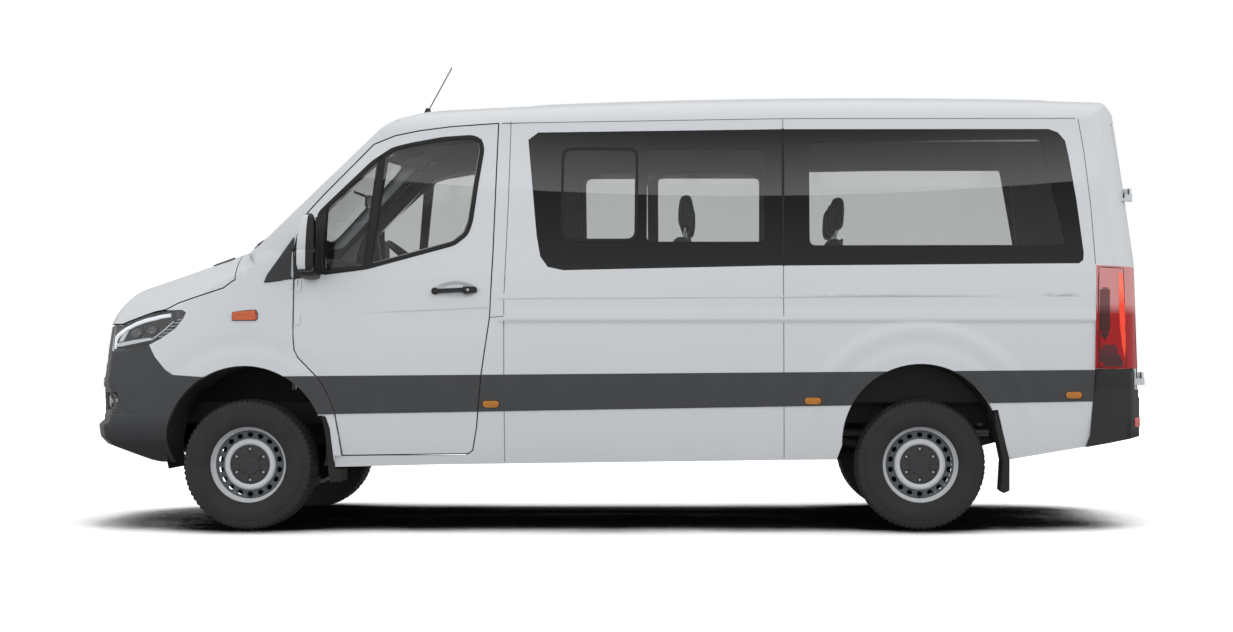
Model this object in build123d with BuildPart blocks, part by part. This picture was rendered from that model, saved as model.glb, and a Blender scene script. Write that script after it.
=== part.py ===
"""Low-roof four-wheel-drive minibus, nose towards -X, left side towards -Y, standing on Z = 0.

All sizes are in millimetres. The body is a hollow shell that is divided into its panels where the
real sheet metal, doors and glass meet. Side outlines are lists of (x, z) corners.
"""
import math
import os

from build123d import *

os.makedirs("parts", exist_ok=True)

# ---------------------------------------------------------------- overall sizes
overall_length = 5932.0
half_width = 1000.0          # body side at its widest
roof_top = 2440.0            # crown of the roof above the ground
drawn_half_width = 1000.0    # half width that the cross-sections below are drawn for
widening = half_width - drawn_half_width
nose_x = -overall_length / 2
tail_x = overall_length / 2

# ---------------------------------------------------------------- wheels and axles
axle_front_x = -1950.0
axle_rear_x = 1715.0
tyre_radius = 356.0
tyre_width = 235.0
tyre_bead_radius = 206.0
wheel_inset = 145.0          # wheel's centre plane inside the body side
wheel_centre_y = half_width - wheel_inset
rim_flange_radius = 219.0
rim_half_width = 88.0
hub_face_y = 40.0            # wheel disc, outboard of the wheel's centre plane
spindle_radius = 35.0
spindle_length = 62.0
running_clearance = 0.3      # pins, spindles and king pins in their bores
steer_offset = 95.0          # king pin inboard of the wheel's centre plane
steer_axis_y = wheel_centre_y - steer_offset
kingpin_radius = 12.0

# ---------------------------------------------------------------- shell
wall = 60.0                  # thickness of doors and side walls
nose_wall = 40.0             # thickness of wings, bonnet and bumper
shut_gap = 7.0               # round doors and bonnet
glass_recess = 2.0
glass_thickness = 6.0
roof_peak_x = 1450.0
roof_sweep_radius = 44000.0
shoulder_drop = 58.0         # crown edge below the top of the roof
crown_half = 670.0
gutter_z = 2250.0
waist_z = 1447.0
belly_z = 880.0
sill_z = 330.0
front_plan_axis_x = 1500.0   # the windscreen is curved about this upright line
nose_plan_axis_x = -1016.0   # the bumper and grille are curved about this one

# ---------------------------------------------------------------- floor and frame
floor_z = 720.0
floor_thickness = 30.0
rail_offset = 455.0          # rail's inner face inboard of the wheel's centre plane
rail_inner_y = wheel_centre_y - rail_offset
rail_width = 80.0
rail_height = 120.0
rail_top = floor_z - floor_thickness
rail_bottom = rail_top - rail_height
floor_half = half_width - wall - 10
footwell_half = half_width - 480     # the floor's front, between the front wheels

FAR = 3300.0                 # beyond the object, for cutting prisms


def side_prism(points, reach=FAR, widen=0.0):
    """Prism across the vehicle with the given side outline, on the left (-Y) for positive reach."""
    with BuildPart() as prism:
        with BuildSketch(Plane.XZ):
            with BuildLine():
                Polyline(*points, close=True)
            make_face()
            if widen:
                offset(amount=widen, kind=Kind.INTERSECTION)
        extrude(amount=reach)
    return prism.part


def box_between(low, high):
    """Box from its lowest to its highest corner."""
    size = [b - a for a, b in zip(low, high)]
    middle = [(a + b) / 2 for a, b in zip(low, high)]
    with BuildPart() as block:
        with Locations(tuple(middle)):
            Box(*size)
    return block.part


def rod(start, end, radius):
    """Round bar between two points."""
    start, end = Vector(*start), Vector(*end)
    with BuildPart() as bar:
        with BuildSketch(Plane(origin=start, z_dir=(end - start).normalized())):
            Circle(radius)
        extrude(amount=(end - start).length)
    return bar.part


# ================================================================ outer forms
def half_section(inset):
    """Corners of the body's cross-section on the right side, as (y, z below the roof top)."""
    edge = half_width - inset
    base = (edge - 45, sill_z - roof_top)
    belly = (edge, belly_z - roof_top)
    waist = (edge - 32, waist_z - roof_top)
    gutter = (edge - 174, gutter_z - roof_top - inset / 2)
    crown = (crown_half * edge / half_width, -shoulder_drop - inset)
    return base, belly, waist, gutter, crown


def swept_body(inset):
    """Body section swept along the roof's long arc."""
    low = -roof_top
    start = math.asin((nose_x + 700 - roof_peak_x) / roof_sweep_radius)
    finish = math.asin((tail_x + 300 - roof_peak_x) / roof_sweep_radius)
    centre = Vector(roof_peak_x, 0, roof_top - roof_sweep_radius)
    outward = Vector(math.sin(start), 0, math.cos(start))
    section_plane = Plane(origin=centre + outward * roof_sweep_radius, x_dir=(0, 1, 0),
                          z_dir=(math.cos(start), 0, -math.sin(start)))
    base, belly, waist, gutter, crown = half_section(inset)
    with BuildPart() as body:
        with BuildSketch(section_plane):
            with BuildLine():
                for side in (1, -1):
                    Line((side * base[0], low), (side * base[0], base[1]))
                    ThreePointArc((side * base[0], base[1]), (side * belly[0], belly[1]),
                                  (side * waist[0], waist[1]))
                    upright = Line((side * waist[0], waist[1]), (side * gutter[0], gutter[1]))
                    TangentArc((side * gutter[0], gutter[1]), (side * crown[0], crown[1]),
                               tangent=upright % 1)
                ThreePointArc((crown[0], crown[1]), (0, -inset), (-crown[0], crown[1]))
                Line((base[0], low), (-base[0], low))
            make_face()
        revolve(axis=Axis(centre, (0, 1, 0)), revolution_arc=math.degrees(finish - start))
    return body.part


def front_form(inset):
    """Everything behind the windscreen and the roof's front, curved in plan."""
    with BuildPart() as form:
        with BuildSketch(Plane.XZ):
            with BuildLine():
                Polyline((front_plan_axis_x, 100), (-2063, 100), (-2063, 1515), (-2018, 1552), (-1372, 2200))
                ThreePointArc((-1372, 2200), (-1303, 2246), (-1215, 2276))
                Polyline((-1215, 2276), (-800, 2396), (-500, 2700), (front_plan_axis_x, 2700),
                         (front_plan_axis_x, 100))
            make_face()
            if inset:
                offset(amount=-inset, kind=Kind.INTERSECTION)
                with Locations((front_plan_axis_x - 100, 1400)):
                    Rectangle(200, 3200)
        revolve(axis=Axis((front_plan_axis_x, 0, 0), (0, 0, 1)), revolution_arc=360)
        with Locations((front_plan_axis_x + 1500, 0, 1400)):
            Box(3000, 6000, 4000)
    return form.part


# rear face outline, leaning forward towards the roof
REAR = [(2925, 100), (2915, 878), (2898, 1465), (2839, 2008), (2806, 2290), (2740, 2356), (2560, 2700)]
# rear corner: how far it is rounded along the side and across the back
corner_along = 230.0
corner_across = 130.0


def rear_form(inset):
    """Everything ahead of the rear doors, with rounded corners that lean in with the sides."""
    outline = [(-FAR, 100)] + [(x - inset, z) for x, z in REAR] + [(-FAR, 2700)]
    with BuildPart() as form:
        add(side_prism(outline, FAR))
        add(side_prism(outline, -FAR))
        for side in (1, -1):
            # (height, rear face x, side y) at the bottom, the waist and the gutter
            stations = [(100, 2925, half_width), (waist_z, 2899, half_width - 32),
                        (2700, 2758, half_width - 32 - 222)]
            for (z0, x0, y0), (z1, x1, y1) in zip(stations, stations[1:]):
                centre_x = x0 - corner_along
                centre_y = y0 - corner_across
                along = corner_along - inset
                across = corner_across - inset * 0.9
                bend = math.sqrt(0.5)
                start = (centre_x, side * (centre_y + across))
                middle = (centre_x + along * bend, side * (centre_y + across * bend))
                end = (centre_x + along, side * centre_y)
                with BuildSketch(Plane.XY.offset(z0)):
                    with BuildLine():
                        ThreePointArc(start, middle, end)
                        Polyline(end, (end[0] + 400, end[1]), (end[0] + 400, start[1] + side * 400),
                                 (start[0], start[1] + side * 400), start)
                    make_face()
                lean = Vector(x1 - x0, side * (y1 - y0), z1 - z0)
                extrude(amount=lean.length, dir=lean.normalized(), mode=Mode.SUBTRACT)
    return form.part


def cab_envelope(inset):
    """Outer form of cab and passenger body, moved inwards by inset."""
    with BuildPart() as envelope:
        add(swept_body(inset))
        add(front_form(inset), mode=Mode.INTERSECT)
        add(rear_form(inset), mode=Mode.INTERSECT)
    return envelope.part


# nose sections: x, half width, shoulder z, shoulder inset from the half width, crown z, crown edge y
NOSE_SECTIONS = [
    (-1380, 1000, 1560, 52, 1760, 740),
    (-1700, 1000, 1500, 41, 1650, 700),
    (-2020, 986, 1390, 48, 1541, 650),
    (-2350, 955, 1215, 52, 1428, 640),
    (-2650, 890, 1110, 60, 1330, 590),
    (-2966, 700, 1000, 60, 1225, 480),
]


def nose_envelope(inset):
    """Outer form of the bonnet, wings and front bumper, moved inwards by inset."""
    with BuildPart() as nose:
        for x, half, shoulder_z, shoulder_in, crown_z, crown_y in NOSE_SECTIONS:
            edge = half + widening - inset
            crown_edge = crown_y + widening
            with BuildSketch(Plane.YZ.offset(x)):
                with BuildLine():
                    for side in (1, -1):
                        foot = (side * (edge - 30), 100)
                        shoulder = (side * (edge - shoulder_in), shoulder_z - inset)
                        crown = (side * crown_edge, crown_z - 24 - inset)
                        ThreePointArc(foot, (side * edge, 860), shoulder)
                        ThreePointArc(shoulder, (side * (crown_edge + (edge - shoulder_in - crown_edge) * 0.68),
                                                 crown[1] - (crown[1] - shoulder[1]) * 0.40), crown)
                    ThreePointArc((crown_edge, crown_z - 24 - inset), (0, crown_z - inset),
                                  (-crown_edge, crown_z - 24 - inset))
                    Line((edge - 30, 100), (30 - edge, 100))
                make_face()
        loft()
        with BuildSketch(Plane.XZ):
            with BuildLine():
                Polyline((nose_plan_axis_x, 371), (-2750, 371), (-2800, 394), (-2940, 461), (nose_x, 501),
                         (nose_x, 568), (-2935, 596), (-2940, 807), (-2892, 1130))
                ThreePointArc((-2892, 1130), (-2830, 1232), (-2712, 1318))
                Polyline((-2712, 1318), (-2560, 1410), (-2100, 1900), (nose_plan_axis_x, 1900),
                         (nose_plan_axis_x, 371))
            make_face()
            if inset:
                offset(amount=-inset, kind=Kind.INTERSECTION)
                with Locations((nose_plan_axis_x - 60, 1100)):
                    Rectangle(120, 1600)
                with Locations((nose_plan_axis_x - 820, 300)):
                    Rectangle(1640, 400)
        revolve(axis=Axis((nose_plan_axis_x, 0, 0), (0, 0, 1)), revolution_arc=360, mode=Mode.INTERSECT)
    return nose.part


cab_outer = cab_envelope(0)
cab_shell = cab_outer - cab_envelope(wall)
glass_floor = cab_envelope(glass_recess + glass_thickness)
glass_skin = cab_envelope(glass_recess) - glass_floor
rebate_skin = cab_outer - glass_floor
nose_outer = nose_envelope(0)
nose_shell = nose_outer - nose_envelope(nose_wall)

# ================================================================ panel outlines, side view (x, z)
DOOR = [(-1692, 1060), (-1692, 1365), (-1700, 1514), (-1682, 1610), (-1631, 1733), (-1547, 1830),
        (-1281, 2111), (-1164, 2160), (-1033, 2187), (-858, 2210), (-602, 2228), (-610, 1893), (-619, 1488),
        (-633, 1157), (-678, 844), (-703, 562), (-725, 438), (-745, 421), (-1428, 412), (-1445, 524),
        (-1466, 643), (-1510, 753), (-1555, 829), (-1666, 943), (-1685, 981)]
DOOR_GLASS = [(-1578, 1729), (-1554, 1391), (-1307, 1422), (-825, 1553), (-756, 1610), (-732, 1681),
              (-706, 1893), (-676, 2089), (-690, 2143), (-743, 2163), (-900, 2152), (-1075, 2120),
              (-1180, 2093), (-1291, 2017), (-1528, 1782)]
DOOR_LIGHT = [(-1555, 1716), (-1532, 1418), (-1310, 1446), (-838, 1578), (-780, 1626), (-757, 1690),
              (-731, 1893), (-703, 2085), (-712, 2127), (-745, 2140), (-900, 2129), (-1070, 2098),
              (-1172, 2070), (-1275, 1998), (-1511, 1763)]
# two fixed panes on each side: outline of the glass, and of the clear light inside its black border
PANES = [
    ([(-433, 2139), (-379, 2180), (963, 2198), (963, 1441), (-231, 1415), (-315, 1433), (-357, 1491),
      (-379, 1607)],
     [(-280, 2110), (870, 2110), (870, 1552), (-225, 1552), (-262, 1600)]),
    ([(971, 2198), (2430, 2199), (2481, 2180), (2519, 2134), (2536, 2048), (2573, 1797), (2603, 1511),
      (2599, 1471), (2575, 1453), (971, 1440)],
     [(1080, 2130), (2410, 2130), (2450, 2090), (2480, 1850), (2512, 1600), (2495, 1552), (1080, 1552)]),
]
SLIDING_DOOR = [(-543, 372), (955, 390), (955, 2226), (-543, 2208)]
BELTLINE = 1362.0            # joint between the wing and the windscreen pillar
WING = [(-1400, 408), (-1400, BELTLINE), (-1865, BELTLINE), (-1935, 1492), (-2018, 1492), (-2018, 1362),
        (-2032, 1356), (-2084, 1317), (-2177, 1288), (-2341, 1236), (-2413, 1200), (-2315, 1201), (-2294, 1186),
        (-2309, 1153), (-2350, 1101), (-2432, 1044), (-2500, 1010), (-2464, 945), (-2400, 872),
        (-2359, 846), (-2193, 835), (-2190, 346), (-1470, 346), (-1470, 408)]
WING_CORNER = [(-2018, 1492), (-1935, 1492), (-1935, 1620), (-2018, 1620)]
BONNET = [(-2018, 1362), (-2032, 1356), (-2084, 1317), (-2177, 1288), (-2341, 1236), (-2413, 1200),
          (-2486, 1186), (-2631, 1137), (-2672, 1121), (-3000, 1121), (-3000, 1800), (-2018, 1800)]
BUMPER = [(-3000, 300), (-3000, 965), (-2655, 978), (-2500, 1010), (-2464, 945), (-2400, 872),
          (-2359, 846), (-2193, 835), (-2190, 300)]
REAR_BUMPER = [(2614, 454), (2632, 516), (2646, 699), (2657, 878), (2925, 878), (2950, 771), (tail_x, 600),
               (tail_x, 540), (2940, 512), (2815, 490)]
SCREEN_PILLAR = [(-1165, 2140), (-1165, 2700), (-2300, 2700), (-2300, 1492), (-1935, 1492),
                 (-1865, BELTLINE), (-1600, BELTLINE), (-1600, 1700), (-1300, 2000)]
ROOF = [(-1165, 2140), (-760, 2150), (-640, 2205), (-592, 2230), (963, 2258), (3000, 2258), (3000, 2700),
        (-1165, 2700)]
BODY_SIDE = [(-1470, 346), (-854, 360), (-532, 363), (980, 382), (1249, 385), (2197, 385), (2610, 455),
             (2632, 516), (2646, 699), (2657, 878), (3000, 878), (3000, 2258), (963, 2258), (-592, 2230),
             (-640, 2205), (-760, 2100), (-760, 408), (-1470, 408)]
HEADLIGHT = [(-3000, 1100), (-2672, 1121), (-2631, 1137), (-2486, 1186), (-2413, 1196), (-2315, 1201),
             (-2294, 1186), (-2309, 1153), (-2350, 1101), (-2432, 1044), (-2500, 1010), (-2655, 978),
             (-3000, 965)]
TAIL_LIGHT = [(2667, 1444), (2960, 1432), (2960, 880), (2657, 880)]
CLADDING = [(-1560, 831), (-680, 845), (978, 859), (1420, 864), (1906, 867), (2653, 874), (2649, 702),
            (2113, 656), (1334, 656), (979, 656), (-703, 636), (-1546, 627)]

# wheel arches: centre and radius of the opening
FRONT_ARCH = (-1962, 455, 440)
REAR_ARCH = (1712, 479, 427)
# lower edges of the arches, top to bottom
BEHIND_FRONT_WHEEL = [(-1546, 627), (-1515, 620), (-1493, 555), (-1474, 393), (-1465, 346)]
AHEAD_OF_REAR_WHEEL = [(1322, 649), (1298, 499), (1255, 380)]
BEHIND_REAR_WHEEL = [(2113, 656), (2131, 656), (2197, 380)]
FRONT_ARCH_LEAD = [(-2378, 493), (-2385, 340)]


def arch_cutter(arch, ahead, behind, inner_y=wheel_centre_y - 295):
    """Wheel opening through the side of the body, open downwards."""
    x, z, radius = arch
    outline = ahead[::-1] + [(x, z)] + behind
    low = [(behind[-1][0], 100), (ahead[-1][0], 100)]
    with BuildPart() as cutter:
        with BuildSketch(Plane.XZ.offset(inner_y)):
            with Locations((x, z)):
                Circle(radius)
            with BuildLine():
                Polyline(*(outline + low), close=True)
            make_face()
        extrude(amount=FAR)
    return cutter.part


door_opening = side_prism(DOOR, FAR, shut_gap)
front_arch = arch_cutter(FRONT_ARCH, FRONT_ARCH_LEAD, BEHIND_FRONT_WHEEL)
rear_arch = arch_cutter(REAR_ARCH, AHEAD_OF_REAR_WHEEL, BEHIND_REAR_WHEEL)

# ================================================================ rear doors' opening
rear_door_bottom = 740.0
rear_door_top = 2232.0
rear_seam_bottom_y = 850.0
rear_seam_lean = 0.0762      # the seam leans inwards with height
rear_side_x = 2745.0         # nothing of the rear doors lies ahead of this


def rear_seam_y(z):
    """Half width of the rear opening at a height."""
    return widening + rear_seam_bottom_y - (z - rear_door_bottom) * rear_seam_lean


def rear_prism(gap, side=-1):
    """Prism along X over one rear door, grown by gap (negative shrinks)."""
    low, high = rear_door_bottom - gap, rear_door_top + gap
    middle = side * (shut_gap / 2 if gap <= 0 else -5.0)
    with BuildPart() as prism:
        with BuildSketch(Plane.YZ.offset(rear_side_x - 60)):
            with BuildLine():
                Polyline((middle, low), (side * (rear_seam_y(low) + gap), low),
                         (side * (rear_seam_y(high) + gap), high), (middle, high), close=True)
            make_face()
        extrude(amount=600)
    return prism.part


# ================================================================ body sides, roof, wings
rear_post_y = half_width - 70        # the rear post's foot behind the bumper
rear_post_foot_z = 765.0
rear_post_foot = cab_shell & box_between((2790, -rear_post_y, rear_post_foot_z), (3000, 0, 900))
with BuildPart() as body_side_left:
    add(cab_shell)
    add(side_prism(BODY_SIDE), mode=Mode.INTERSECT)
    add(rear_post_foot)
    add(door_opening, mode=Mode.SUBTRACT)
    add(rear_arch, mode=Mode.SUBTRACT)
    add(side_prism(TAIL_LIGHT), mode=Mode.SUBTRACT)
    add(rear_prism(shut_gap), mode=Mode.SUBTRACT)
    for glass_outline, light_outline in PANES:
        with BuildSketch(Plane.XZ.offset(500)):
            with BuildLine():
                Polyline(*light_outline, close=True)
            make_face()
        extrude(amount=FAR, mode=Mode.SUBTRACT)
    for glass_outline, light_outline in PANES:
        add(rebate_skin & side_prism(glass_outline), mode=Mode.SUBTRACT)
body_side_left.part.label = "body_side_left"
export_step(body_side_left.part, "parts/body_side_left.step")

with BuildPart() as body_side_right:
    mirror(body_side_left.part, about=Plane.XZ)
    add(side_prism(SLIDING_DOOR, -FAR), mode=Mode.SUBTRACT)
body_side_right.part.label = "body_side_right"
export_step(body_side_right.part, "parts/body_side_right.step")

with BuildPart() as sliding_door:
    mirror(body_side_left.part, about=Plane.XZ)
    add(side_prism(SLIDING_DOOR, -FAR), mode=Mode.INTERSECT)
sliding_door.part.label = "sliding_door"
export_step(sliding_door.part, "parts/sliding_door.step")

with BuildPart() as side_windows_left:
    for glass_outline, light_outline in PANES:
        add(glass_skin & side_prism(glass_outline))
side_windows_left.part.label = "side_windows_left"
export_step(side_windows_left.part, "parts/side_windows_left.step")

with BuildPart() as side_windows_right:
    mirror(side_windows_left.part, about=Plane.XZ)
side_windows_right.part.label = "side_windows_right"
export_step(side_windows_right.part, "parts/side_windows_right.step")

with BuildPart() as roof_panel:
    add(cab_shell)
    add(side_prism(ROOF) + side_prism(ROOF, -FAR), mode=Mode.INTERSECT)
    add(door_opening, mode=Mode.SUBTRACT)
    add(mirror(door_opening, about=Plane.XZ, mode=Mode.PRIVATE), mode=Mode.SUBTRACT)
roof_panel.part.label = "roof_panel"
export_step(roof_panel.part, "parts/roof_panel.step")

wing_corner = (nose_shell & side_prism(WING_CORNER)) - front_form(0)
with BuildPart() as wing_left:
    add(nose_shell)
    add(side_prism(WING), mode=Mode.INTERSECT)
    add(wing_corner)
    add(door_opening, mode=Mode.SUBTRACT)
    add(front_arch, mode=Mode.SUBTRACT)
wing_left.part.label = "wing_left"
export_step(wing_left.part, "parts/wing_left.step")

with BuildPart() as wing_right:
    mirror(wing_left.part, about=Plane.XZ)
wing_right.part.label = "wing_right"
export_step(wing_right.part, "parts/wing_right.step")

# ================================================================ windscreen pillars, cowl and bulkhead
screen_bottom_y = half_width - 185
screen_top_y = half_width - 310
screen_bottom_z = 1582.0
screen_top_z = 2196.0
screen_border = 45.0
door_hinge_x = -1676.0       # pin axis, behind the front edge of the door
door_hinge_y = half_width - 23
door_hinge_lean = 41.0 / 520.0
door_hinge_levels = (1150.0, 1330.0)
hinge_pin_radius = 5.0
hinge_pin_length = 60.0
hinge_leaf_thickness = 8.0
hinge_leaf_width = 10.0
pillar_outer_y = half_width - wall - 40
pillar_inner_y = pillar_outer_y - 55
cowl_half = half_width - 300
bulkhead_x = -1720.0
bulkhead_thickness = 25.0
bonnet_hinge_x = -2010.0
bonnet_hinge_z = 1520.0
bonnet_hinge_y = 400.0
bonnet_hinge_pin_radius = 6.0
bonnet_hinge_notch = 30.0
bonnet_rear_x = -2040.0


def screen_prism(shrink):
    """Windscreen outline in the front view, through the front of the cab."""
    with BuildPart() as prism:
        with BuildSketch(Plane.YZ.offset(-2300)):
            low, high = screen_bottom_z + shrink, screen_top_z - shrink
            wide, narrow = screen_bottom_y - shrink, screen_top_y - shrink
            with BuildLine():
                Polyline((-wide, low), (wide, low), (narrow, high), (-narrow, high), close=True)
            outline = make_face()
            fillet(outline.vertices(), radius=40)
        extrude(amount=1250)
    return prism.part


def hinge_axis_y(z):
    """Distance of the front door's hinge axis from the centre line at a height."""
    return door_hinge_y - (z - sum(door_hinge_levels) / 2) * door_hinge_lean


def door_pin(z, radius, length):
    """Cylinder on the left front door's leaning hinge axis, centred at height z."""
    half = length / 2
    return rod((door_hinge_x, -hinge_axis_y(z - half), z - half), (door_hinge_x, -hinge_axis_y(z + half), z + half),
               radius)


with BuildPart() as windscreen_frame:
    add(cab_shell)
    add(side_prism(SCREEN_PILLAR) + side_prism(SCREEN_PILLAR, -FAR), mode=Mode.INTERSECT)
    add(door_opening, mode=Mode.SUBTRACT)
    add(mirror(door_opening, about=Plane.XZ, mode=Mode.PRIVATE), mode=Mode.SUBTRACT)
    add(rebate_skin & screen_prism(0), mode=Mode.SUBTRACT)
    add(screen_prism(screen_border), mode=Mode.SUBTRACT)
    # cowl floor, bulkhead and hinge pillars
    add(box_between((-1985, -cowl_half, 1492), (bulkhead_x, cowl_half, 1512)))
    add(box_between((bulkhead_x, -pillar_outer_y, 765), (bulkhead_x + bulkhead_thickness, pillar_outer_y, 1380)))
    add(box_between((bulkhead_x, -cowl_half, 1380), (bulkhead_x + bulkhead_thickness, cowl_half, 1512)))
    add(box_between((bulkhead_x, -footwell_half, floor_z),
                    (bulkhead_x + bulkhead_thickness, footwell_half, 800)))
    for low_y, high_y in ((-pillar_outer_y, -pillar_inner_y), (pillar_inner_y, pillar_outer_y)):
        add(box_between((bulkhead_x - 60, low_y, 870), (bulkhead_x, high_y, 1512)))
    # notches of the bonnet hinges, each crossed by its pin
    for centre_y in (-bonnet_hinge_y, bonnet_hinge_y):
        low_y = centre_y - bonnet_hinge_notch / 2
        high_y = centre_y + bonnet_hinge_notch / 2
        add(box_between((-2100, low_y, 1460), (bonnet_hinge_x + 22, high_y, 1580)), mode=Mode.SUBTRACT)
        add(rod((bonnet_hinge_x, low_y - 5, bonnet_hinge_z), (bonnet_hinge_x, high_y + 5, bonnet_hinge_z),
                bonnet_hinge_pin_radius))
    # hinge leaves and pins for the front doors
    for z in door_hinge_levels:
        pin = door_pin(z, hinge_pin_radius, hinge_pin_length)
        y = hinge_axis_y(z)
        leaf = box_between((door_hinge_x - hinge_leaf_width / 2, -y, z - hinge_leaf_thickness / 2),
                           (door_hinge_x + hinge_leaf_width / 2, -pillar_inner_y, z + hinge_leaf_thickness / 2))
        foot = box_between((bulkhead_x, -pillar_outer_y, z - 30), (door_hinge_x + 10, -pillar_inner_y, z + 30))
        for hinge_piece in (pin, leaf, foot):
            add(hinge_piece)
            add(mirror(hinge_piece, about=Plane.XZ, mode=Mode.PRIVATE))
windscreen_frame.part.label = "windscreen_frame"
export_step(windscreen_frame.part, "parts/windscreen_frame.step")

with BuildPart() as windscreen:
    add(glass_skin & screen_prism(0))
windscreen.part.label = "windscreen"
export_step(windscreen.part, "parts/windscreen.step")

# ================================================================ front doors
with BuildPart() as front_door_left:
    add(cab_shell)
    add(side_prism(DOOR), mode=Mode.INTERSECT)
    add(side_prism(DOOR_LIGHT), mode=Mode.SUBTRACT)
    add(rebate_skin & side_prism(DOOR_GLASS), mode=Mode.SUBTRACT)
    for z in door_hinge_levels:
        y = hinge_axis_y(z)
        add(door_pin(z, hinge_pin_radius + running_clearance, hinge_pin_length + 2), mode=Mode.SUBTRACT)
        add(box_between((-1720, -y - 6, z - 12), (door_hinge_x + 9, -cowl_half, z + 12)), mode=Mode.SUBTRACT)
front_door_left.part.label = "front_door_left"
export_step(front_door_left.part, "parts/front_door_left.step")

with BuildPart() as front_door_right:
    mirror(front_door_left.part, about=Plane.XZ)
front_door_right.part.label = "front_door_right"
export_step(front_door_right.part, "parts/front_door_right.step")

with BuildPart() as door_window_left:
    add(glass_skin & side_prism(DOOR_GLASS))
door_window_left.part.label = "door_window_left"
export_step(door_window_left.part, "parts/door_window_left.step")

with BuildPart() as door_window_right:
    mirror(door_window_left.part, about=Plane.XZ)
door_window_right.part.label = "door_window_right"
export_step(door_window_right.part, "parts/door_window_right.step")

mirror_inner_y = half_width + 5
mirror_outer_y = half_width + 172
mirror_arm_reach = 180.0
with BuildPart() as mirror_left:
    with BuildSketch(Plane.XZ.offset(mirror_inner_y)):
        with BuildLine():
            Polyline((-1650, 1440), (-1640, 1400), (-1555, 1395), (-1535, 1440), (-1532, 1680), (-1560, 1717),
                     (-1600, 1712), (-1636, 1640), close=True)
        housing_outline = make_face()
        fillet(housing_outline.vertices(), radius=14)
    extrude(amount=mirror_outer_y - mirror_inner_y)
    fillet(mirror_left.edges().filter_by(GeomType.LINE, reverse=True).sort_by(Axis.Y)[0:1], radius=8)
    with BuildSketch(Plane.XZ.offset(pillar_outer_y)):
        with Locations((-1602, 1386)):
            Rectangle(84, 40)
    extrude(amount=mirror_arm_reach)
    add(cab_outer, mode=Mode.SUBTRACT)
mirror_left.part.label = "mirror_left"
export_step(mirror_left.part, "parts/mirror_left.step")

with BuildPart() as mirror_right:
    mirror(mirror_left.part, about=Plane.XZ)
mirror_right.part.label = "mirror_right"
export_step(mirror_right.part, "parts/mirror_right.step")


# ================================================================ bonnet, lights and bumpers
grille_half_width = 430.0
grille_top_z = 1121.0
grille_bottom_z = 876.0
bonnet_arm_thickness = 12.0
bonnet_eye_radius = 14.0

bonnet_seat = Cylinder(front_plan_axis_x + 2063 + shut_gap, 3000)
bonnet_seat = Pos(front_plan_axis_x, 0, 1500) * bonnet_seat
with BuildPart() as bonnet:
    add(nose_shell)
    add(side_prism(BONNET, FAR, -shut_gap) + side_prism(BONNET, -FAR, -shut_gap), mode=Mode.INTERSECT)
    add(bonnet_seat, mode=Mode.SUBTRACT)
    for centre_y in (-bonnet_hinge_y, bonnet_hinge_y):
        with BuildSketch(Plane.XZ.offset(-centre_y + bonnet_arm_thickness / 2)):
            with BuildLine():
                Polyline((bonnet_hinge_x, bonnet_hinge_z - 8), (bonnet_hinge_x, bonnet_hinge_z + 8),
                         (-2040, 1522), (-2120, 1492), (-2120, 1462), (-2040, 1498), close=True)
            make_face()
            with Locations((bonnet_hinge_x, bonnet_hinge_z)):
                Circle(bonnet_eye_radius)
        extrude(amount=-bonnet_arm_thickness)
        add(rod((bonnet_hinge_x, centre_y - 20, bonnet_hinge_z), (bonnet_hinge_x, centre_y + 20, bonnet_hinge_z),
                bonnet_hinge_pin_radius + running_clearance), mode=Mode.SUBTRACT)
bonnet.part.label = "bonnet"
export_step(bonnet.part, "parts/bonnet.step")

grille_zone = box_between((-3000, -grille_half_width, grille_bottom_z), (-2500, grille_half_width, grille_top_z))
with BuildPart() as grille:
    add(nose_shell)
    add(grille_zone, mode=Mode.INTERSECT)
grille.part.label = "grille"
export_step(grille.part, "parts/grille.step")

front_arch_right = mirror(front_arch, about=Plane.XZ)
with BuildPart() as front_bumper:
    add(nose_shell)
    add(side_prism(BUMPER) + side_prism(BUMPER, -FAR), mode=Mode.INTERSECT)
    add(grille_zone, mode=Mode.SUBTRACT)
    add(front_arch, mode=Mode.SUBTRACT)
    add(front_arch_right, mode=Mode.SUBTRACT)
front_bumper.part.label = "front_bumper"
export_step(front_bumper.part, "parts/front_bumper.step")

with BuildPart() as headlights:
    add(nose_shell)
    add(side_prism(HEADLIGHT) + side_prism(HEADLIGHT, -FAR), mode=Mode.INTERSECT)
    add(grille_zone, mode=Mode.SUBTRACT)
headlights.part.label = "headlights"
export_step(headlights.part, "parts/headlights.step")

with BuildPart() as tail_lights:
    add(cab_shell)
    add(side_prism(TAIL_LIGHT) + side_prism(TAIL_LIGHT, -FAR), mode=Mode.INTERSECT)
    add(rear_prism(shut_gap, 1), mode=Mode.SUBTRACT)
    add(rear_prism(shut_gap, -1), mode=Mode.SUBTRACT)
tail_lights.part.label = "tail_lights"
export_step(tail_lights.part, "parts/tail_lights.step")

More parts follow.
